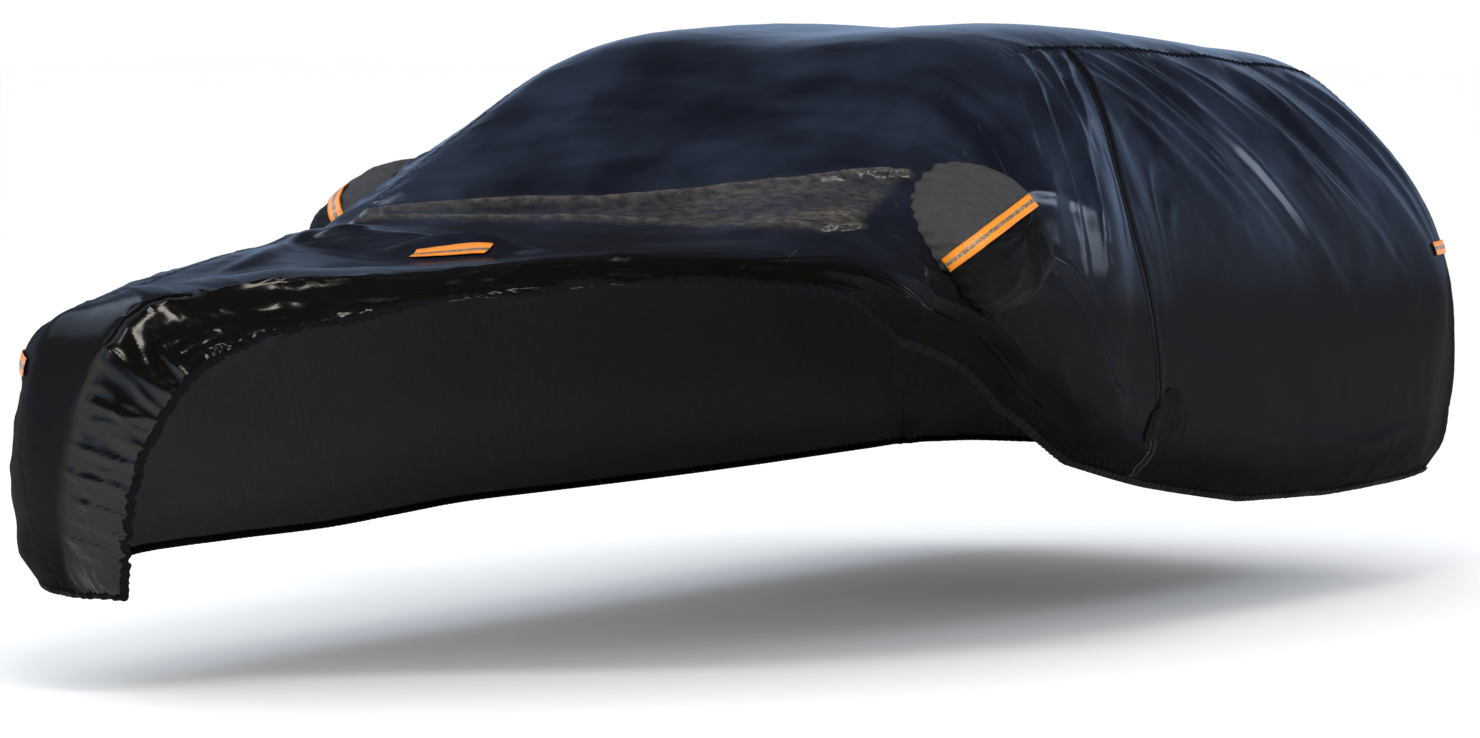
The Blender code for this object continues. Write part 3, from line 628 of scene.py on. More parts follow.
def mesh_piece(name, points, faces, uv=None, values=None):
    """An object from points and faces, with flat places in metres and values for its material."""
    mesh = bpy.data.meshes.new(name)
    mesh.from_pydata(np.asarray(points).tolist(), [], np.asarray(faces).tolist())
    corners = np.empty(len(mesh.loops), dtype=int)
    mesh.loops.foreach_get("vertex_index", corners)
    if uv is not None:
        layer = mesh.uv_layers.new(name="UVMap")
        layer.uv.foreach_set("vector", np.asarray(uv, float)[corners].ravel())
    for key, numbers in (values or {}).items():
        attribute = mesh.attributes.new(key, "FLOAT", "POINT")
        attribute.data.foreach_set("value", np.asarray(numbers, float))
    mesh.shade_smooth()
    mesh.update()
    piece = bpy.data.objects.new(name, mesh)
    bpy.context.scene.collection.objects.link(piece)
    return piece


def turn_out(piece, direction):
    """Turns a sheet's faces to look the given way."""
    bm = bmesh.new()
    bm.from_mesh(piece.data)
    total = sum((face.normal * face.calc_area() for face in bm.faces), Vector())
    if total.dot(Vector(direction)) < 0:
        bmesh.ops.reverse_faces(bm, faces=bm.faces)
    bm.to_mesh(piece.data)
    bm.free()


def thicken(piece, thickness, offset=-1.0, inner_slot=0):
    solid = piece.modifiers.new("thickness", "SOLIDIFY")
    solid.thickness = thickness
    solid.offset = offset
    solid.use_even_offset = False
    solid.material_offset = inner_slot
    solid.material_offset_rim = 0
    return piece


def dress(piece, slot, *materials):
    """Gives a piece its materials and the body that it moves with; its slot argument is not used."""
    for material in materials:
        piece.data.materials.append(material)
    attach(piece, "root")
    return piece


def row_stops(table):
    stops = [float(table[0][0])]
    for start, end, rows in table:
        stops += [start + (end - start) * (i + 1) / rows for i in range(rows)]
    return np.array(stops)


def column_stops(columns, finer=0.75):
    """Shares from 0 to 1, closer together at both ends."""
    t = np.arange(columns + 1) / columns
    return t - finer * np.sin(2 * math.pi * t) / (2 * math.pi)


def pocket_share(station, across, side, at, over):
    """Distance from the middle of a mirror pocket's sewn oval, as a share of its size."""
    per_station, per_across = per_unit(np.array(float(at)), np.array(float(side * over)))
    ds = (station - at) * per_station / POCKET_LENGTH
    da = (across - side * over) * per_across / POCKET_HEIGHT
    return np.hypot(ds, da), ds, da


def cloth_piece(name, station, across, facing, flat, area, hole=None):
    """A cloth panel from a grid of places, with a hole for a mirror where there is a pocket."""
    rows, columns = station.shape
    faces = grid_faces(rows, columns)
    if hole:
        size, ds, da = pocket_share(station, across, *POCKETS[hole])
        gone = size.ravel()[faces].mean(axis=1) < HOLE_SHARE
        edge = np.intersect1d(faces[gone], faces[~gone])
        per_station, per_across = per_unit(*(np.array(float(v)) for v in
                                             (POCKETS[hole][1], POCKETS[hole][0] * POCKETS[hole][2])))
        pull = (HOLE_SHARE / size - 1).ravel()[edge]
        station, across = station.copy(), across.copy()
        station.ravel()[edge] += pull * (ds * POCKET_LENGTH / per_station).ravel()[edge]
        across.ravel()[edge] += pull * (da * POCKET_HEIGHT / per_across).ravel()[edge]
        faces = faces[~gone]
    lay = Lay(station, across)
    piece = mesh_piece(name, lay.points, faces, np.stack([lay.over, lay.back], -1),
                       {"band": lay.band, "gloss": lay.gloss, "crinkle": lay.crinkle,
                        "to_hem": lay.to_hem, "to_seam": lay.to_seam})
    bm = bmesh.new()
    bm.from_mesh(piece.data)
    loose = [vertex for vertex in bm.verts if not vertex.link_faces]
    bmesh.ops.delete(bm, geom=loose, context="VERTS")
    bm.to_mesh(piece.data)
    bm.free()
    turn_out(piece, facing)
    dress(piece, "cover_cloth", cloth_material(), lining_material())
    thicken(piece, settings().cloth.thickness, -1.0, 1)
    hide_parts(name)
    return piece


# ---------------------------------------------------------------- panels
SEAM_GAP = 0.00015           # each panel stops this far from the middle of a seam
ZIP_CURVE = np.polyfit(ZIP_LINE[:, 0], ZIP_LINE[:, 1], len(ZIP_LINE) - 1)


def zip_at(across):
    """The station of the zip at a distance across."""
    return np.polyval(ZIP_CURVE, across)


def seam_place(station, side, onto):
    """The distance across that lies the seam gap to one side of a seam."""
    _, per_across = per_unit(station, np.full(np.shape(station), float(side)))
    return side + onto * SEAM_GAP / per_across


def top_places():
    station = row_stops(TOP_ROWS)
    right = seam_place(station, -1, 1)
    left = np.minimum(seam_place(station, 1, -1), hem_across(station))
    columns = column_stops(86)
    return np.repeat(station[:, None], len(columns), 1), right[:, None] + (left - right)[:, None] * columns


def side_places(side, station, columns, zip_in_front=False, zip_behind=False):
    """A side panel's places, from the roof edge seam down to the hem or the peeled hem."""
    half_zip = settings().trim.zip_width / 2 + SEAM_GAP
    reach = hem_across(station) if side > 0 else np.full(len(station), 3.0)
    seam = seam_place(station, side, side)
    across = seam[:, None] + (side * reach - seam)[:, None] * column_stops(columns)
    station = np.repeat(station[:, None], across.shape[1], 1)
    first, last = station[0, 0], station[-1, 0]
    if zip_in_front:
        ease = np.maximum(0, 1 - (station - first) / ZIP_EASE) ** 2
        per_station, _ = per_unit(station, across)
        station = station + ease * (zip_at(across) - ZIP_FOOT + half_zip / per_station)
    if zip_behind:
        ease = ((station - first) / (last - first)) ** 3
        per_station, _ = per_unit(station, across)
        station = station + ease * (zip_at(across) - ZIP_FOOT - half_zip / per_station)
    return station, across


class COVER_OT_top_panel(bpy.types.Operator):
    """Bonnet, screen, roof and tail in one length of cloth"""
    bl_idname = "cover.top_panel"
    bl_label = "Top panel"

    def execute(self, context):
        cloth_piece("top_panel", *top_places(), (0, 0, 1), (1.50, 6.10), 6.75)
        return {"FINISHED"}


class COVER_OT_right_panel(bpy.types.Operator):
    """Right side panel, down to the sill hem"""
    bl_idname = "cover.right_panel"
    bl_label = "Right side panel"

    def execute(self, context):
        places = side_places(-1, row_stops(RIGHT_ROWS), 94)
        cloth_piece("side_panel_right", *places, (-1, 0, 0), (1.35, 5.60), 4.60, "right")
        return {"FINISHED"}


class COVER_OT_left_panels(bpy.types.Operator):
    """Left side panels, ahead of the door zip and behind it"""
    bl_idname = "cover.left_panels"
    bl_label = "Left side panels"

    def execute(self, context):
        rows = row_stops(LEFT_FRONT_ROWS)
        front = side_places(1, rows[hem_across(rows) > 1.02], 140, zip_behind=True)
        cloth_piece("side_panel_left_front", *front, (1, 0, 0), (1.15, 1.75), 1.05, "left")
        rear = side_places(1, row_stops(LEFT_REAR_ROWS), 120, zip_in_front=True)
        cloth_piece("side_panel_left_rear", *rear, (1, 0, 0), (1.35, 3.10), 2.75)
        return {"FINISHED"}


BINDING_FRONT = 7.75         # the bindings start at this station, over the doors


class COVER_OT_seam_bindings(bpy.types.Operator):
    """Narrow bindings sewn over the two roof edge seams"""
    bl_idname = "cover.seam_bindings"
    bl_label = "Seam bindings"

    def execute(self, context):
        width = settings().trim.seam_width
        for name, side, start in (("seam_binding_left", 1, BINDING_FRONT), ("seam_binding_right", -1, BINDING_FRONT)):
            station = np.linspace(start, LAST, 900)
            _, per_across = per_unit(station, np.full(len(station), float(side)))
            offset = np.linspace(-0.5, 0.5, 7)
            across = side + offset[None, :] * (width / per_across)[:, None]
            lay = Lay(station[:, None], across)
            crown = 0.0010 + 0.0016 * (1 - (2 * np.tile(offset, len(station))) ** 2)
            points = lay.points + lay.facing * crown[:, None]
            uv = np.stack([np.tile(offset * width, len(station)), lay.back], -1)
            piece = mesh_piece(name, points, grid_faces(len(station), len(offset)), uv)
            turn_out(piece, (side, 0, 1))
            dress(piece, "cover_cloth", binding_material())
            thicken(piece, 0.0009)
        return {"FINISHED"}


def hem_path(spacing):
    """Places right round the hem at an even spacing, and the way from each into the cloth."""
    stations = np.linspace(0, LAST, 1400)
    across = np.linspace(-3, 3, 500)
    front = across[across < hem_across(0)]
    legs = ((stations[::-1], np.full(1400, -3.0), (0.0, 0.02)),
            (np.zeros(len(front)), front, (0.04, 0.0)),
            (stations, hem_across(stations), (0.0, -0.02)),
            (np.full(500, float(LAST)), across[::-1], (-0.04, 0.0)))
    station = np.concatenate([leg[0] for leg in legs])
    side = np.concatenate([leg[1] for leg in legs])
    inward = np.concatenate([np.tile(leg[2], (len(leg[0]), 1)) for leg in legs])
    walked = travel(form(station, side))
    stops = np.arange(0, walked[-1], walked[-1] / round(walked[-1] / spacing))
    values = [np.interp(stops, walked, each) for each in (station, side, inward[:, 0], inward[:, 1])]
    return values[0], values[1], values[2], values[3]


def smoothed(values, count):
    """Each row of a closed chain averaged with its neighbours."""
    return sum(np.roll(values, k, axis=0) for k in range(-count, count + 1)) / (2 * count + 1)


class COVER_OT_hem(bpy.types.Operator):
    """Gathered casing with the elastic, right round the hem"""
    bl_idname = "cover.hem"
    bl_label = "Elastic hem"

    def execute(self, context):
        trim, cloth = settings().trim, settings().cloth
        station, across, ds, da = hem_path(0.0062)
        lay = Lay(station, across)
        inner = Lay(station + ds, across + da)
        ahead = unit(smoothed(np.roll(lay.points, -1, 0) - np.roll(lay.points, 1, 0), 6))
        into = smoothed(unit(inner.points - lay.points), 4)
        into = unit(into - ahead * np.sum(into * ahead, 1, keepdims=True))
        facing = np.cross(ahead, into)
        phase = 2 * math.pi * lay.hem_at / (0.45 * cloth.gather_pitch)
        phase += 5 * waves(lay.hem_at / 0.10, 0.0, 81)
        gathers = 1 + 0.16 * np.cos(phase) + 0.25 * waves(lay.hem_at / 0.05, 0.0, 82)
        sides = 12
        turn = 2 * math.pi * np.arange(sides) / sides
        middle = lay.points + into * (0.42 * trim.hem_width)
        points = (middle[:, None] + into[:, None] * (np.cos(turn) * trim.hem_width / 2)[None, :, None]
                  + facing[:, None] * (np.sin(turn)[None] * (trim.hem_depth / 2 * gathers)[:, None])[..., None])
        rings = len(station)
        ring = np.arange(rings)[:, None] * sides
        here, along = np.arange(sides)[None], np.roll(np.arange(sides), -1)[None]
        next_ring = np.roll(ring, -1, axis=0)
        faces = np.stack([ring + here, next_ring + here, next_ring + along, ring + along], -1).reshape(-1, 4)
        uv = np.stack([np.tile(turn * trim.hem_width / math.pi, rings), np.repeat(lay.hem_at, sides)], -1)
        piece = mesh_piece("hem_casing", points.reshape(-1, 3), faces, uv)
        bm = bmesh.new()
        bm.from_mesh(piece.data)
        if bm.calc_volume(signed=True) < 0:
            bmesh.ops.reverse_faces(bm, faces=bm.faces)
        bm.to_mesh(piece.data)
        bm.free()
        dress(piece, "cover_cloth", binding_material())
        return {"FINISHED"}


# ---------------------------------------------------------------- mirror pockets
def pocket_frame(name, around, grow=1.0):
    """The sewn oval of a mirror pocket, its middle and the way the bag points."""
    side, at, over = POCKETS[name]
    turn = 2 * math.pi * np.arange(around) / around
    per_station, per_across = (float(value) for value in per_unit(np.array(at), np.array(side * over)))
    lay = Lay(at + grow * POCKET_LENGTH / per_station * np.cos(turn),
              side * over + side * grow * POCKET_HEIGHT / per_across * np.sin(turn))
    axis = np.array((side, 0.0, POCKET_RISE))
    return lay.points + lay.facing * 0.001, lay.points.mean(axis=0), axis / np.linalg.norm(axis), turn


class COVER_OT_mirror_pockets(bpy.types.Operator):
    """Bags for the door mirrors, gathered where they are sewn on"""
    bl_idname = "cover.mirror_pockets"
    bl_label = "Mirror pockets"

    def execute(self, context):
        around, rings = 150, 56
        for name, seed in (("left", 90), ("right", 95)):
            rim, centre, axis, turn = pocket_frame(name, around)
            rise = np.linspace(0, 0.5 * math.pi, rings)[:, None]
            swell = np.maximum(np.cos(rise), 0) ** 0.62
            points = (centre + (rim - centre)[None] * swell[..., None]
                      + axis * (POCKET_DEPTH * np.sin(rise))[..., None])
            x, y, z = np.moveaxis(points, -1, 0)
            outward = unit(points - centre)
            low = rise / (0.5 * math.pi)
            pleats = np.cos(26 * turn[None] + 3 * waves(turn / 0.9, 0.0, seed)) * (1 - low) ** 3
            seam = bell(np.abs(np.cos(turn))[None] * swell, 0.035)
            crumple = (ridges(x / 0.10, y / 0.10, seed + 1, z / 0.10)
                       + 0.5 * ridges(x / 0.045, y / 0.045, seed + 2, z / 0.045) - 0.45)
            runs = ridges(np.cos(turn)[None] * 2.2 + 0 * low, np.sin(turn)[None] * 2.2 + 0 * low, seed + 3, low * 0.9)
            height = 0.0045 * pleats + 0.0022 * seam + 0.0040 * crumple * ramp(low, 0, 0.25) + 0.004 * (runs - 0.3) * ramp(low, 0, 0.3)
            points = points + outward * height[..., None]
            points[-1] = points[-1].mean(axis=0)
            closed = np.concatenate([points, points[:, :1]], axis=1)
            uv = np.stack([np.tile(np.append(turn, 2 * math.pi) * 0.16, rings), np.repeat(rise[:, 0] * 0.17, around + 1)], -1)
            facing, run, shift = np.array(POCKET_STRIPS[name])
            above = unit(np.cross(run, facing))
            above *= np.sign(above[2])
            upper = ramp((closed - centre - shift) @ above, -0.012, 0.012).ravel()
            piece = mesh_piece(f"mirror_pocket_{name}", closed.reshape(-1, 3),
                               grid_faces(rings, around + 1), uv,
                               {"upper": upper, "seam": np.concatenate([seam, seam[:, :1]], 1).ravel()})
            bm = bmesh.new()
            bm.from_mesh(piece.data)
            bmesh.ops.remove_doubles(bm, verts=bm.verts, dist=0.00005)
            bm.to_mesh(piece.data)
            bm.free()
            turn_out(piece, axis)
            dress(piece, "pocket_cloth", pocket_material(), lining_material())
            thicken(piece, settings().cloth.thickness, -1.0, 1)
            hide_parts(f"mirror_pocket_{name}")
        return {"FINISHED"}


# ---------------------------------------------------------------- reflective strips
def strip_piece(name, points, length_share, across_share, length, facing):
    """A strip from a grid of points, with its places along and across in metres."""
    rows, columns = points.shape[:2]
    width = settings().trim.strip_width
    uv = np.stack([np.broadcast_to(across_share * width, (rows, columns)).ravel(),
                   np.broadcast_to(length_share * length, (rows, columns)).ravel()], -1)
    ends = np.minimum(length_share, 1 - length_share) * length
    piece = mesh_piece(name, points.reshape(-1, 3), grid_faces(rows, columns), uv,
                       {"to_end": np.broadcast_to(ends, (rows, columns)).ravel()})
    turn_out(piece, facing)
    dress(piece, "reflective_tape", strip_material())
    thicken(piece, settings().trim.tape_thickness, 1.0)
    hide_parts(name)
    return piece


class COVER_OT_strips(bpy.types.Operator):
    """Reflective strips at the corners and across the mirror pockets"""
    bl_idname = "cover.strips"
    bl_label = "Reflective strips"

    def execute(self, context):
        width = settings().trim.strip_width
        across_share = np.linspace(0, 1, 9)[None, :]
        for name, (station, across, length) in STRIPS.items():
            length_share = np.linspace(0, 1, 49)[:, None]
            level, upward = (length_share - 0.5) * length, (across_share - 0.5) * width
            lay = Lay(*walk(station, across, level, upward))
            puff = 0.0050 + 0.0010 * np.sin(math.pi * across_share) + 0 * length_share
            points = lay.points + lay.facing * puff.ravel()[:, None]
            strip_piece(name, points.reshape(49, 9, 3), length_share, across_share, length,
                        out(np.array(station), np.array(across)))
        for name in POCKETS:
            self.pocket_strip(name, across_share)
        return {"FINISHED"}

    def pocket_strip(self, name, across_share):
        """Lays a strip over a mirror pocket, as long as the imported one."""
        bag = bpy.data.objects[f"mirror_pocket_{name}"].data
        bag = BVHTree.FromPolygons([vertex.co for vertex in bag.vertices],
                                   [face.vertices[:] for face in bag.polygons])
        width = settings().trim.strip_width
        _, centre, _, _ = pocket_frame(name, 36)
        facing, along, shift = (Vector(way) for way in POCKET_STRIPS[name])
        middle = Vector(centre) + shift
        facing.normalize()
        along = (along - facing * along.dot(facing)).normalized()
        sideways = facing.cross(along)
        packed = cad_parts[f"strip_mirror_{name}"].data.vertices
        walked = [(vertex.co - middle).dot(along) for vertex in packed]
        low, high = min(walked), max(walked)
        rows = 61
        points = np.zeros((rows, across_share.size, 3))
        for i in range(rows):
            for j, share in enumerate(across_share[0]):
                start = middle + along * (low + (high - low) * i / (rows - 1)) + sideways * (0.5 - share) * width
                where, normal, _, _ = bag.ray_cast(start + facing * 0.5, -facing)
                if where:
                    points[i, j] = where + (normal + facing).normalized() * 0.0055
        held = np.any(points != 0, axis=2).all(axis=1)
        points = points[np.flatnonzero(held)[0]:np.flatnonzero(held)[-1] + 1]
        for _ in range(3):
            points[1:-1] = (points[:-2] + 2 * points[1:-1] + points[2:]) / 4
        strip_piece(f"strip_mirror_{name}", points, np.linspace(0, 1, len(points))[:, None], across_share,
                    high - low, facing)


# ---------------------------------------------------------------- zip, flap and patch
TOOTH = (0.0052, 0.0026, 0.0018)     # one tooth of the zip: across the tape, along it, off it


def zip_lay(across, ahead):
    """Places beside the zip: ahead metres behind its line, at distances across."""
    station = zip_at(across)
    per_station, _ = per_unit(station, across)
    return Lay(station + ahead / per_station, across)


class COVER_OT_zip(bpy.types.Operator):
    """Door zip with its teeth, the flap behind it and the patch at its foot"""
    bl_idname = "cover.zip"
    bl_label = "Door zip"

    def execute(self, context):
        trim = settings().trim
        foot = float(hem_across(ZIP_FOOT)) - 0.012
        across = np.linspace(1.012, foot, 220)[:, None]
        self.tape("door_zip", "zip_tape", across, np.linspace(-0.5, 0.5, 7)[None] * trim.zip_width,
                  -0.0010, zip_material(), (1, 0, 0))
        behind = trim.zip_width / 2 + 0.002 + np.linspace(0, 1, 11)[None] * trim.flap_width
        self.tape("zip_flap", "cover_cloth", across, behind, 0.0030, binding_material(), (1, 0, 0))
        self.teeth(foot)
        self.patch()
        return {"FINISHED"}

    def tape(self, name, slot, across, ahead, lift, material, facing):
        lay = zip_lay(np.repeat(across, ahead.shape[1], 1), np.repeat(ahead, len(across), 0))
        edge = np.abs(np.linspace(-1, 1, ahead.shape[1]))[None] ** 4
        rise = lift * (1 - 0.6 * np.repeat(edge, len(across), 0)).ravel()
        points = lay.points + lay.facing * rise[:, None]
        uv = np.stack([np.repeat(ahead, len(across), 0).ravel(), lay.over], -1)
        piece = mesh_piece(name, points, grid_faces(len(across), ahead.shape[1]), uv)
        turn_out(piece, facing)
        dress(piece, slot, material)
        thicken(piece, settings().trim.tape_thickness, 1.0)
        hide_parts(name)

    def teeth(self, foot):
        """Two rows of teeth that mesh in the middle of the tape."""
        pitch = settings().trim.zip_pitch
        fine = np.linspace(1.02, foot - 0.005, 400)
        walked = travel(zip_lay(fine, 0 * fine).points)
        stops = np.interp(np.arange(0, walked[-1], pitch), walked, fine)
        lay = zip_lay(stops, 0 * stops)
        along = unit(np.gradient(lay.points, axis=0))
        side = np.cross(lay.facing, along)
        bm = bmesh.new()
        for i, (point, facing, run, over) in enumerate(zip(lay.points, lay.facing, along, side)):
            lean = over * (0.0011 if i % 2 else -0.0011)
            made = bmesh.ops.create_cube(bm, size=1.0)["verts"]
            bevelled = {edge for vertex in made for edge in vertex.link_edges}
            for vertex in made:
                x, y, z = (value * size for value, size in zip(vertex.co, TOOTH))
                place = point + lean + over * x + run * y + facing * (z + 0.0014)
                vertex.co = Vector(place)
            bmesh.ops.bevel(bm, geom=list(bevelled), offset=0.0005, segments=1, affect="EDGES")
        mesh = bpy.data.meshes.new("zip_teeth")
        bm.to_mesh(mesh)
        bm.free()
        piece = bpy.data.objects.new("zip_teeth", mesh)
        bpy.context.scene.collection.objects.link(piece)
        dress(piece, "zip_tape", zip_material())

    def patch(self):
        """The five-sided patch at the foot of the zip, with its edge turned under."""
        cells = 36
        x, y = np.meshgrid(np.linspace(-0.5, 0.5, cells + 1), np.linspace(-0.5, 0.5, cells + 1))
        taper = 1 - PATCH_TAPER * np.maximum(0, 2 * y)
        peak = 0.12 * (1 - np.abs(2 * x)) * np.maximum(0, 2 * y)
        lay = Lay(*walk(PATCH_STATION, PATCH_ACROSS, -x * PATCH_LENGTH * taper, (y + peak) * PATCH_HEIGHT))
        edge = np.minimum(0.5 - np.abs(x), 0.5 - np.abs(y)).ravel()
        rise = 0.0022 + 0.0022 * ramp(edge, 0.0, 0.06) - 0.0012 * bell(edge - 0.09, 0.02)
        points = lay.points + lay.facing * rise[:, None]
        uv = np.stack([(x * taper * PATCH_LENGTH).ravel(), (y * PATCH_HEIGHT).ravel()], -1)
        piece = mesh_piece("zip_patch", points, grid_faces(cells + 1, cells + 1), uv)
        turn_out(piece, (1, 0, 0))
        dress(piece, "zip_tape", patch_material())
        thicken(piece, settings().trim.tape_thickness, 1.0)
        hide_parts("zip_patch")


# ---------------------------------------------------------------- materials
class Value:
    """A socket in shader maths: each operator adds the Math node that works it out."""

    def __init__(self, shader, socket):
        self.shader, self.socket = shader, socket

    def __add__(self, other):
        return self.shader.maths("ADD", self, other)

    def __sub__(self, other):
        return self.shader.maths("SUBTRACT", self, other)

    def __rsub__(self, other):
        return self.shader.maths("SUBTRACT", other, self)

    def __mul__(self, other):
        return self.shader.maths("MULTIPLY", self, other)

    def __truediv__(self, other):
        return self.shader.maths("DIVIDE", self, other)

    def __pow__(self, other):
        return self.shader.maths("POWER", self, other)

    __radd__ = __add__
    __rmul__ = __mul__


class Shader:
    """A material's nodes, added one after another."""

    def __init__(self, name):
        self.material = bpy.data.materials.new(name)
        self.material.use_nodes = True
        self.tree = self.material.node_tree
        self.surface = self.tree.nodes["Principled BSDF"]

    def feed(self, socket, value):
        if isinstance(value, Value):
            self.tree.links.new(value.socket, socket)
        elif hasattr(value, "__len__") and len(value) == 3 and len(socket.default_value) == 4:
            socket.default_value = (*value, 1.0)
        else:
            socket.default_value = value

    def node(self, kind, settings=None, sockets=None, output=0):
        made = self.tree.nodes.new(kind)
        for key, value in (settings or {}).items():
            if key == "stops":
                for stop, (at, level) in zip(made.color_ramp.elements, value):
                    stop.position, stop.color = at, (level, level, level, 1.0)
            else:
                setattr(made, key, value)
        for key, value in (sockets or {}).items():
            self.feed(made.inputs[key], value)
        return Value(self, made.outputs[output])

    def maths(self, operation, first, second=0.0):
        return self.node("ShaderNodeMath", {"operation": operation}, {0: first, 1: second})

    def mix(self, factor, first, second):
        settings = {"data_type": "RGBA", "clamp_factor": True}
        return self.node("ShaderNodeMix", settings, {0: factor, 6: first, 7: second}, 2)

    def noise(self, place, scale, detail=3.0, rough=0.55):
        sockets = {"Vector": place, "Scale": scale, "Detail": detail, "Roughness": rough}
        return self.node("ShaderNodeTexNoise", None, sockets)

    def cells(self, place, scale, feature="DISTANCE_TO_EDGE"):
        return self.node("ShaderNodeTexVoronoi", {"feature": feature}, {"Vector": place, "Scale": scale})

    def bands(self, place, scale, direction):
        settings = {"bands_direction": direction, "wave_profile": "SIN"}
        return self.node("ShaderNodeTexWave", settings, {"Vector": place, "Scale": scale}, 1)

    def steps(self, value, low, high):
        return self.node("ShaderNodeMapRange", {"interpolation_type": "SMOOTHSTEP"},
                         {"Value": value, "From Min": low, "From Max": high})

    def attribute(self, name):
        return self.node("ShaderNodeAttribute", {"attribute_name": name}, output="Fac")

    def object_place(self):
        return self.node("ShaderNodeTexCoord", output="Object")

    def flat(self):
        return self.node("ShaderNodeUVMap", {"uv_map": "UVMap"})

    def split(self, place):
        made = self.tree.nodes.new("ShaderNodeSeparateXYZ")
        self.feed(made.inputs[0], place)
        return [Value(self, made.outputs[i]) for i in range(3)]

    def join(self, x, y, z=0.0):
        return self.node("ShaderNodeCombineXYZ", None, {0: x, 1: y, 2: z})

    def finish(self, height, **sockets):
        """Feeds the surface: height is in metres, the rest are its sockets."""
        normal = self.node("ShaderNodeBump", None, {"Height": height, "Distance": 1.0, "Strength": 1.0})
        self.feed(self.surface.inputs["Normal"], normal)
        for key, value in sockets.items():
            self.feed(self.surface.inputs[key.replace("_", " ")], value)
        return self.material


def made_once(build):
    """Keeps the material that a function builds, so that pieces share it."""
    kept = []

    def give():
        if not kept:
            kept.append(build())
        return kept[0]
    return give


def weave(shader, flat, pitch):
    """Crossing threads, from 0 to 1, a pitch apart in metres."""
    scale = 2 * math.pi / (20 * pitch)
    return shader.bands(flat, scale, "X") * shader.bands(flat, scale, "Y")


@made_once
def cloth_material():
    colours = settings().colours
    shader = Shader("coated_cloth")
    place, flat = shader.object_place(), shader.flat()
    across, along, _ = shader.split(flat)
    band, crinkle = shader.attribute("band"), shader.attribute("crinkle")
    to_hem, to_seam = shader.attribute("to_hem"), shader.attribute("to_seam")
    cloud = shader.noise(place, 2.6, 4.0)
    rub = shader.noise(place, 24.0, 5.0, 0.62)
    _, _, up = shader.split(place)
    # Painted light: 1 above the belt, where the cloth takes the painted sky sheen, 0 below it, where it takes the
    # plain grey copy; it also raises the coat above the belt.
    upper = shader.steps(up + 0.16 * cloud, -0.62, -0.26)
    # Painted reflection: clouds and streaks of blue-grey sky sheen over the dark cloth.
    streak = shader.noise(shader.join(across * 1.3, along * 5.0), 1.0, 2.0)
    sheen_streaks = shader.steps(cloud * 0.7 + streak * 0.5 + rub * 0.1, 0.50, 0.90)
    tint = shader.mix(sheen_streaks, colours.cloth[:], colours.cloth_sheen[:])
    tint = shader.mix(upper, colours.cloth_low[:], tint)
    # Painted shade: the cloth turns near black over the last 20 cm before the hem.
    tint = shader.mix(shader.steps(to_hem, 0.04, 0.20), tuple(0.2 * c for c in colours.cloth_low), tint)
    # Painted highlight: the screen foot's crinkles and creases are lightened to a brown-grey sheen, broken up by fine
    # noise.
    fine = shader.noise(shader.join(across * 26.0, along * 75.0), 1.0, 4.0, 0.6)
    sheen_on_crinkles = crinkle * (0.25 + 0.75 * shader.steps(fine, 0.34, 0.68))
    tint = shader.mix(sheen_on_crinkles, tint, colours.crease_sheen[:])
    # Painted shade: the turned band is darkened to brown-black.
    tint = shader.mix(band, tint, colours.band[:])
    rough = 0.27 + 0.20 * rub + 0.10 * crinkle - 0.08 * band
    warp = shader.node("ShaderNodeVectorMath", {"operation": "MULTIPLY_ADD"},
                       {0: shader.node("ShaderNodeTexNoise", None, {"Vector": place, "Scale": 9.0}, 1),
                        1: (0.02, 0.02, 0.02), 2: place})
    creased = shader.cells(warp, 17.0)
    creased_fine = shader.cells(warp, 44.0)
    near_hem = 1 - shader.steps(to_hem, 0.03, 0.35)
    wrinkle = 0.08 + 0.9 * band + 0.9 * crinkle + 0.10 * near_hem
    height = wrinkle * shader.steps(creased, 0.0, 0.22) * -0.0016
    height = height + (band + crinkle) * shader.steps(creased_fine, 0.0, 0.2) * -0.0006
    height = height + rub * (0.0003 + 0.0004 * upper) + weave(shader, flat, 0.0012) * 0.000006
    dash = shader.steps(shader.bands(flat, 2 * math.pi / (20 * 0.0045), "Y"), 0.3, 0.5)
    row = shader.steps(shader.maths("ABSOLUTE", to_seam - 0.0105), 0.0010, 0.0004) * dash
    height = height - 0.0005 * row
    coat = 0.05 + upper * (0.62 - 0.40 * crinkle) * (1 - 0.5 * band) + 0.60 * shader.attribute("gloss")
    return shader.finish(height, Base_Color=tint, Roughness=rough, Coat_Weight=coat,
                         Coat_Roughness=0.20, Specular_IOR_Level=0.0)


@made_once
def lining_material():
    shader = Shader("lining_cloth")
    place, flat = shader.object_place(), shader.flat()
    fluff = shader.noise(place, 60.0, 5.0, 0.7)
    base = settings().colours.lining[:]
    tint = shader.mix(fluff, base, tuple(0.55 * c for c in base))
    height = fluff * 0.0008 + weave(shader, flat, 0.0016) * 0.00008
    return shader.finish(height, Base_Color=tint, Roughness=0.85 + 0.1 * fluff, Specular_IOR_Level=0.25)


@made_once
def binding_material():
    colours = settings().colours
    shader = Shader("binding_cloth")
    place, flat = shader.object_place(), shader.flat()
    across, _, _ = shader.split(flat)
    rub = shader.noise(place, 40.0, 5.0, 0.65)
    tint = shader.mix(shader.steps(rub, 0.4, 0.8), colours.zip[:], colours.cloth[:])
    dash = shader.steps(shader.bands(flat, 2 * math.pi / (20 * 0.0045), "Y"), 0.3, 0.5)
    row = shader.steps(shader.maths("ABSOLUTE", shader.maths("ABSOLUTE", across) - 0.0042), 0.0010, 0.0004) * dash
    height = rub * 0.0006 + row * 0.0004 + weave(shader, flat, 0.0012) * 0.00006
    return shader.finish(height, Base_Color=tint, Roughness=0.42 + 0.15 * rub, Specular_IOR_Level=0.03)


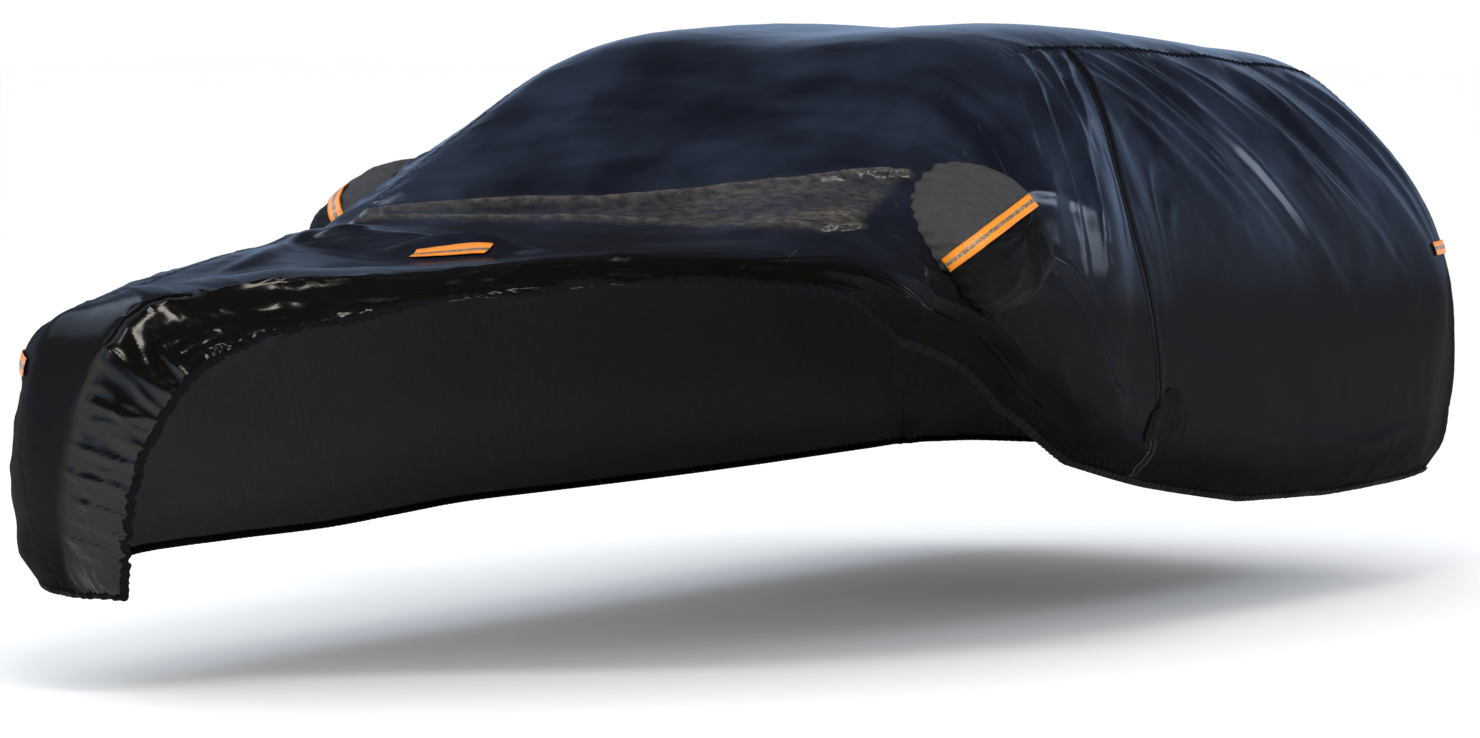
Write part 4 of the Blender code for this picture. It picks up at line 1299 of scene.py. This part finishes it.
@made_once
def pocket_material():
    colours = settings().colours
    shader = Shader("pocket_cloth")
    place, flat = shader.object_place(), shader.flat()
    fluff = shader.noise(place, 34.0, 6.0, 0.7)
    tint = shader.mix(shader.attribute("upper"), colours.pocket_under[:], colours.pocket[:])
    tint = shader.mix(shader.steps(fluff, 0.35, 0.75) * 0.4 * shader.attribute("upper"), tint,
                      tuple(1.6 * c for c in colours.pocket))
    creased = shader.cells(place, 30.0)
    height = (fluff * 0.0012 - 0.0008 * shader.steps(creased, 0.0, 0.2)
              + weave(shader, flat, 0.0012) * 0.00008)
    return shader.finish(height, Base_Color=tint, Roughness=0.60 + 0.15 * fluff, Specular_IOR_Level=0.14)


@made_once
def strip_material():
    colours, trim = settings().colours, settings().trim
    shader = Shader("reflective_tape")
    flat, place = shader.flat(), shader.object_place()
    across, along, _ = shader.split(flat)
    width = trim.strip_width
    middle = shader.maths("ABSOLUTE", across - width / 2)
    half = width * trim.strip_silver / 2
    silver = shader.steps(middle, half + 0.0006, half - 0.0006)
    mottle = shader.noise(place, 150.0, 4.0, 0.7)
    prism = shader.cells(flat, 420.0)
    glitter = shader.mix(shader.steps(mottle, 0.42, 0.60), tuple(0.35 * c for c in colours.silver), colours.silver[:])
    orange = shader.mix(mottle * 0.5, colours.orange[:], tuple(0.62 * c for c in colours.orange))
    dash = shader.steps(shader.bands(flat, 2 * math.pi / (20 * 0.004), "Y"), 0.35, 0.5)
    row = shader.steps(shader.maths("ABSOLUTE", middle - (width / 2 - 0.0032)), 0.0008, 0.0003) * dash
    tint = shader.mix(silver, orange, glitter)
    tint = shader.mix(row * 0.8, tint, tuple(0.5 * c for c in colours.orange))
    height = prism * 0.0001 + mottle * 0.0003 - row * 0.0004 - silver * 0.0003
    return shader.finish(height, Base_Color=tint, Roughness=0.36 + 0.15 * mottle, Metallic=silver * 0.35)


@made_once
def zip_material():
    colours = settings().colours
    shader = Shader("zip_tape")
    place = shader.object_place()
    rub = shader.noise(place, 180.0, 4.0, 0.6)
    tint = shader.mix(rub, colours.zip[:], tuple(2.4 * c for c in colours.zip))
    return shader.finish(rub * 0.0002, Base_Color=tint, Roughness=0.45 + 0.2 * rub, Specular_IOR_Level=0.25)


@made_once
def patch_material():
    colours = settings().colours
    shader = Shader("patch_cloth")
    place, flat = shader.object_place(), shader.flat()
    rub = shader.noise(place, 45.0, 5.0, 0.65)
    tint = shader.mix(rub, tuple(0.25 * c for c in colours.zip), tuple(0.7 * c for c in colours.zip))
    height = rub * 0.0010 + weave(shader, flat, 0.0012) * 0.0001
    return shader.finish(height, Base_Color=tint, Roughness=0.52 + 0.2 * rub, Specular_IOR_Level=0.04)


@made_once
def floor_material():
    shader = Shader("studio_floor")
    place = shader.object_place()
    grain = shader.noise(place, 6.0, 4.0)
    base = settings().colours.floor[:]
    tint = shader.mix(grain, base, tuple(0.985 * c for c in base))
    return shader.finish(grain * 0.0002, Base_Color=tint, Roughness=0.70 + 0.1 * grain,
                         Emission_Color=base, Emission_Strength=0.05)


# ---------------------------------------------------------------- studio
def look(thing, place, target):
    thing.location = place
    thing.rotation_euler = (Vector(target) - Vector(place)).to_track_quat("-Z", "Y").to_euler()


class COVER_OT_studio(bpy.types.Operator):
    """Pale floor, soft lights and the camera"""
    bl_idname = "cover.studio"
    bl_label = "Studio"

    def execute(self, context):
        scene = context.scene
        scene.view_settings.view_transform = "Standard"
        bpy.ops.mesh.primitive_plane_add(size=400.0, location=(0, 0, -MOUNT_HEIGHT))
        floor = context.active_object
        floor.name = "studio_floor"
        floor.data.materials.append(floor_material())
        self.world(scene)
        for name, place, target, size, power, tone in (
                ("overhead", (2.2, -4.4, 4.6), (0.2, -1.0, -0.6), (2.6, 0.9), 130, (1.0, 0.93, 0.84)),
                ("front", (5.5, -7.5, 2.6), (0.3, -1.2, -0.7), (1.6, 1.2), 60, (1.0, 0.93, 0.84)),
                ("left_wall", (6.5, 3.5, 2.4), (0, 0.9, -0.5), (4.0, 1.2), 110, (0.68, 0.80, 1.0)),
                ("right_wall", (-6.0, -1.0, 3.0), (0, -1.0, -0.6), (4.0, 1.6), 110, (0.60, 0.76, 1.0))):
            lamp = bpy.data.lights.new(name, "AREA")
            lamp.shape = "RECTANGLE"
            lamp.size, lamp.size_y = size
            lamp.energy = power
            lamp.color = tone
            holder = bpy.data.objects.new(name, lamp)
            scene.collection.objects.link(holder)
            look(holder, place, target)
        camera = bpy.data.cameras.new("camera")
        camera.sensor_width = 36.0
        camera.lens = 125.94
        camera.shift_x, camera.shift_y = 0.01359, -0.01012
        camera.clip_end = 1000.0
        holder = bpy.data.objects.new("camera", camera)
        holder.location = (7.3187, -11.4886, 0.0076)
        holder.rotation_euler = (math.radians(90 - 3.565), 0, math.radians(34.567))
        scene.collection.objects.link(holder)
        scene.camera = holder
        return {"FINISHED"}

    def world(self, scene):
        world = bpy.data.worlds.new("studio")
        scene.world = world
        world.use_nodes = True
        tree = world.node_tree
        backdrop = tree.nodes["Background"]
        rays = tree.nodes.new("ShaderNodeLightPath")
        place = tree.nodes.new("ShaderNodeTexCoord")
        height = tree.nodes.new("ShaderNodeSeparateXYZ")
        sky = tree.nodes.new("ShaderNodeValToRGB")
        mixed = tree.nodes.new("ShaderNodeMix")
        mixed.data_type = "RGBA"
        for stop, (at, tone) in zip(sky.color_ramp.elements, ((0.02, (0.70, 0.98, 1.45, 1)),
                                                               (0.45, (0.03, 0.034, 0.045, 1)))):
            stop.position, stop.color = at, tone
        tree.links.new(place.outputs["Generated"], height.inputs[0])
        tree.links.new(height.outputs[2], sky.inputs[0])
        tree.links.new(rays.outputs["Is Glossy Ray"], mixed.inputs[0])
        mixed.inputs[6].default_value = (1.0, 1.0, 1.0, 1.0)
        tree.links.new(sky.outputs[0], mixed.inputs[7])
        tree.links.new(mixed.outputs[2], backdrop.inputs["Color"])
        backdrop.inputs["Strength"].default_value = 1.06


# ---------------------------------------------------------------- panel and running
class COVER_PT_sidebar(bpy.types.Panel):
    """Steps that build the car cover"""
    bl_idname = "COVER_PT_sidebar"
    bl_label = "Car cover"
    bl_space_type = "VIEW_3D"
    bl_region_type = "UI"
    bl_category = "Car cover"

    def draw(self, context):
        for group in ("cloth", "trim", "colours"):
            box = self.layout.box()
            values = getattr(context.scene.car_cover, group)
            for key in values.bl_rna.properties.keys():
                if key not in ("rna_type", "name"):
                    box.prop(values, key)
        for step in STEPS:
            self.layout.operator(step.bl_idname)


STEPS = (COVER_OT_top_panel, COVER_OT_right_panel, COVER_OT_left_panels, COVER_OT_seam_bindings,
         COVER_OT_hem, COVER_OT_mirror_pockets, COVER_OT_strips, COVER_OT_zip, COVER_OT_studio)
CLASSES = (ClothSettings, TrimSettings, ColourSettings, CarCoverSettings, *STEPS, COVER_PT_sidebar)


def register():
    for each in CLASSES:
        bpy.utils.register_class(each)
    bpy.types.Scene.car_cover = bpy.props.PointerProperty(type=CarCoverSettings)


def unregister():
    del bpy.types.Scene.car_cover
    for each in reversed(CLASSES):
        bpy.utils.unregister_class(each)


def main():
    register()
    for step in STEPS:
        group, name = step.bl_idname.split(".")
        getattr(getattr(bpy.ops, group), name)()


if __name__ == "__main__":
    main()
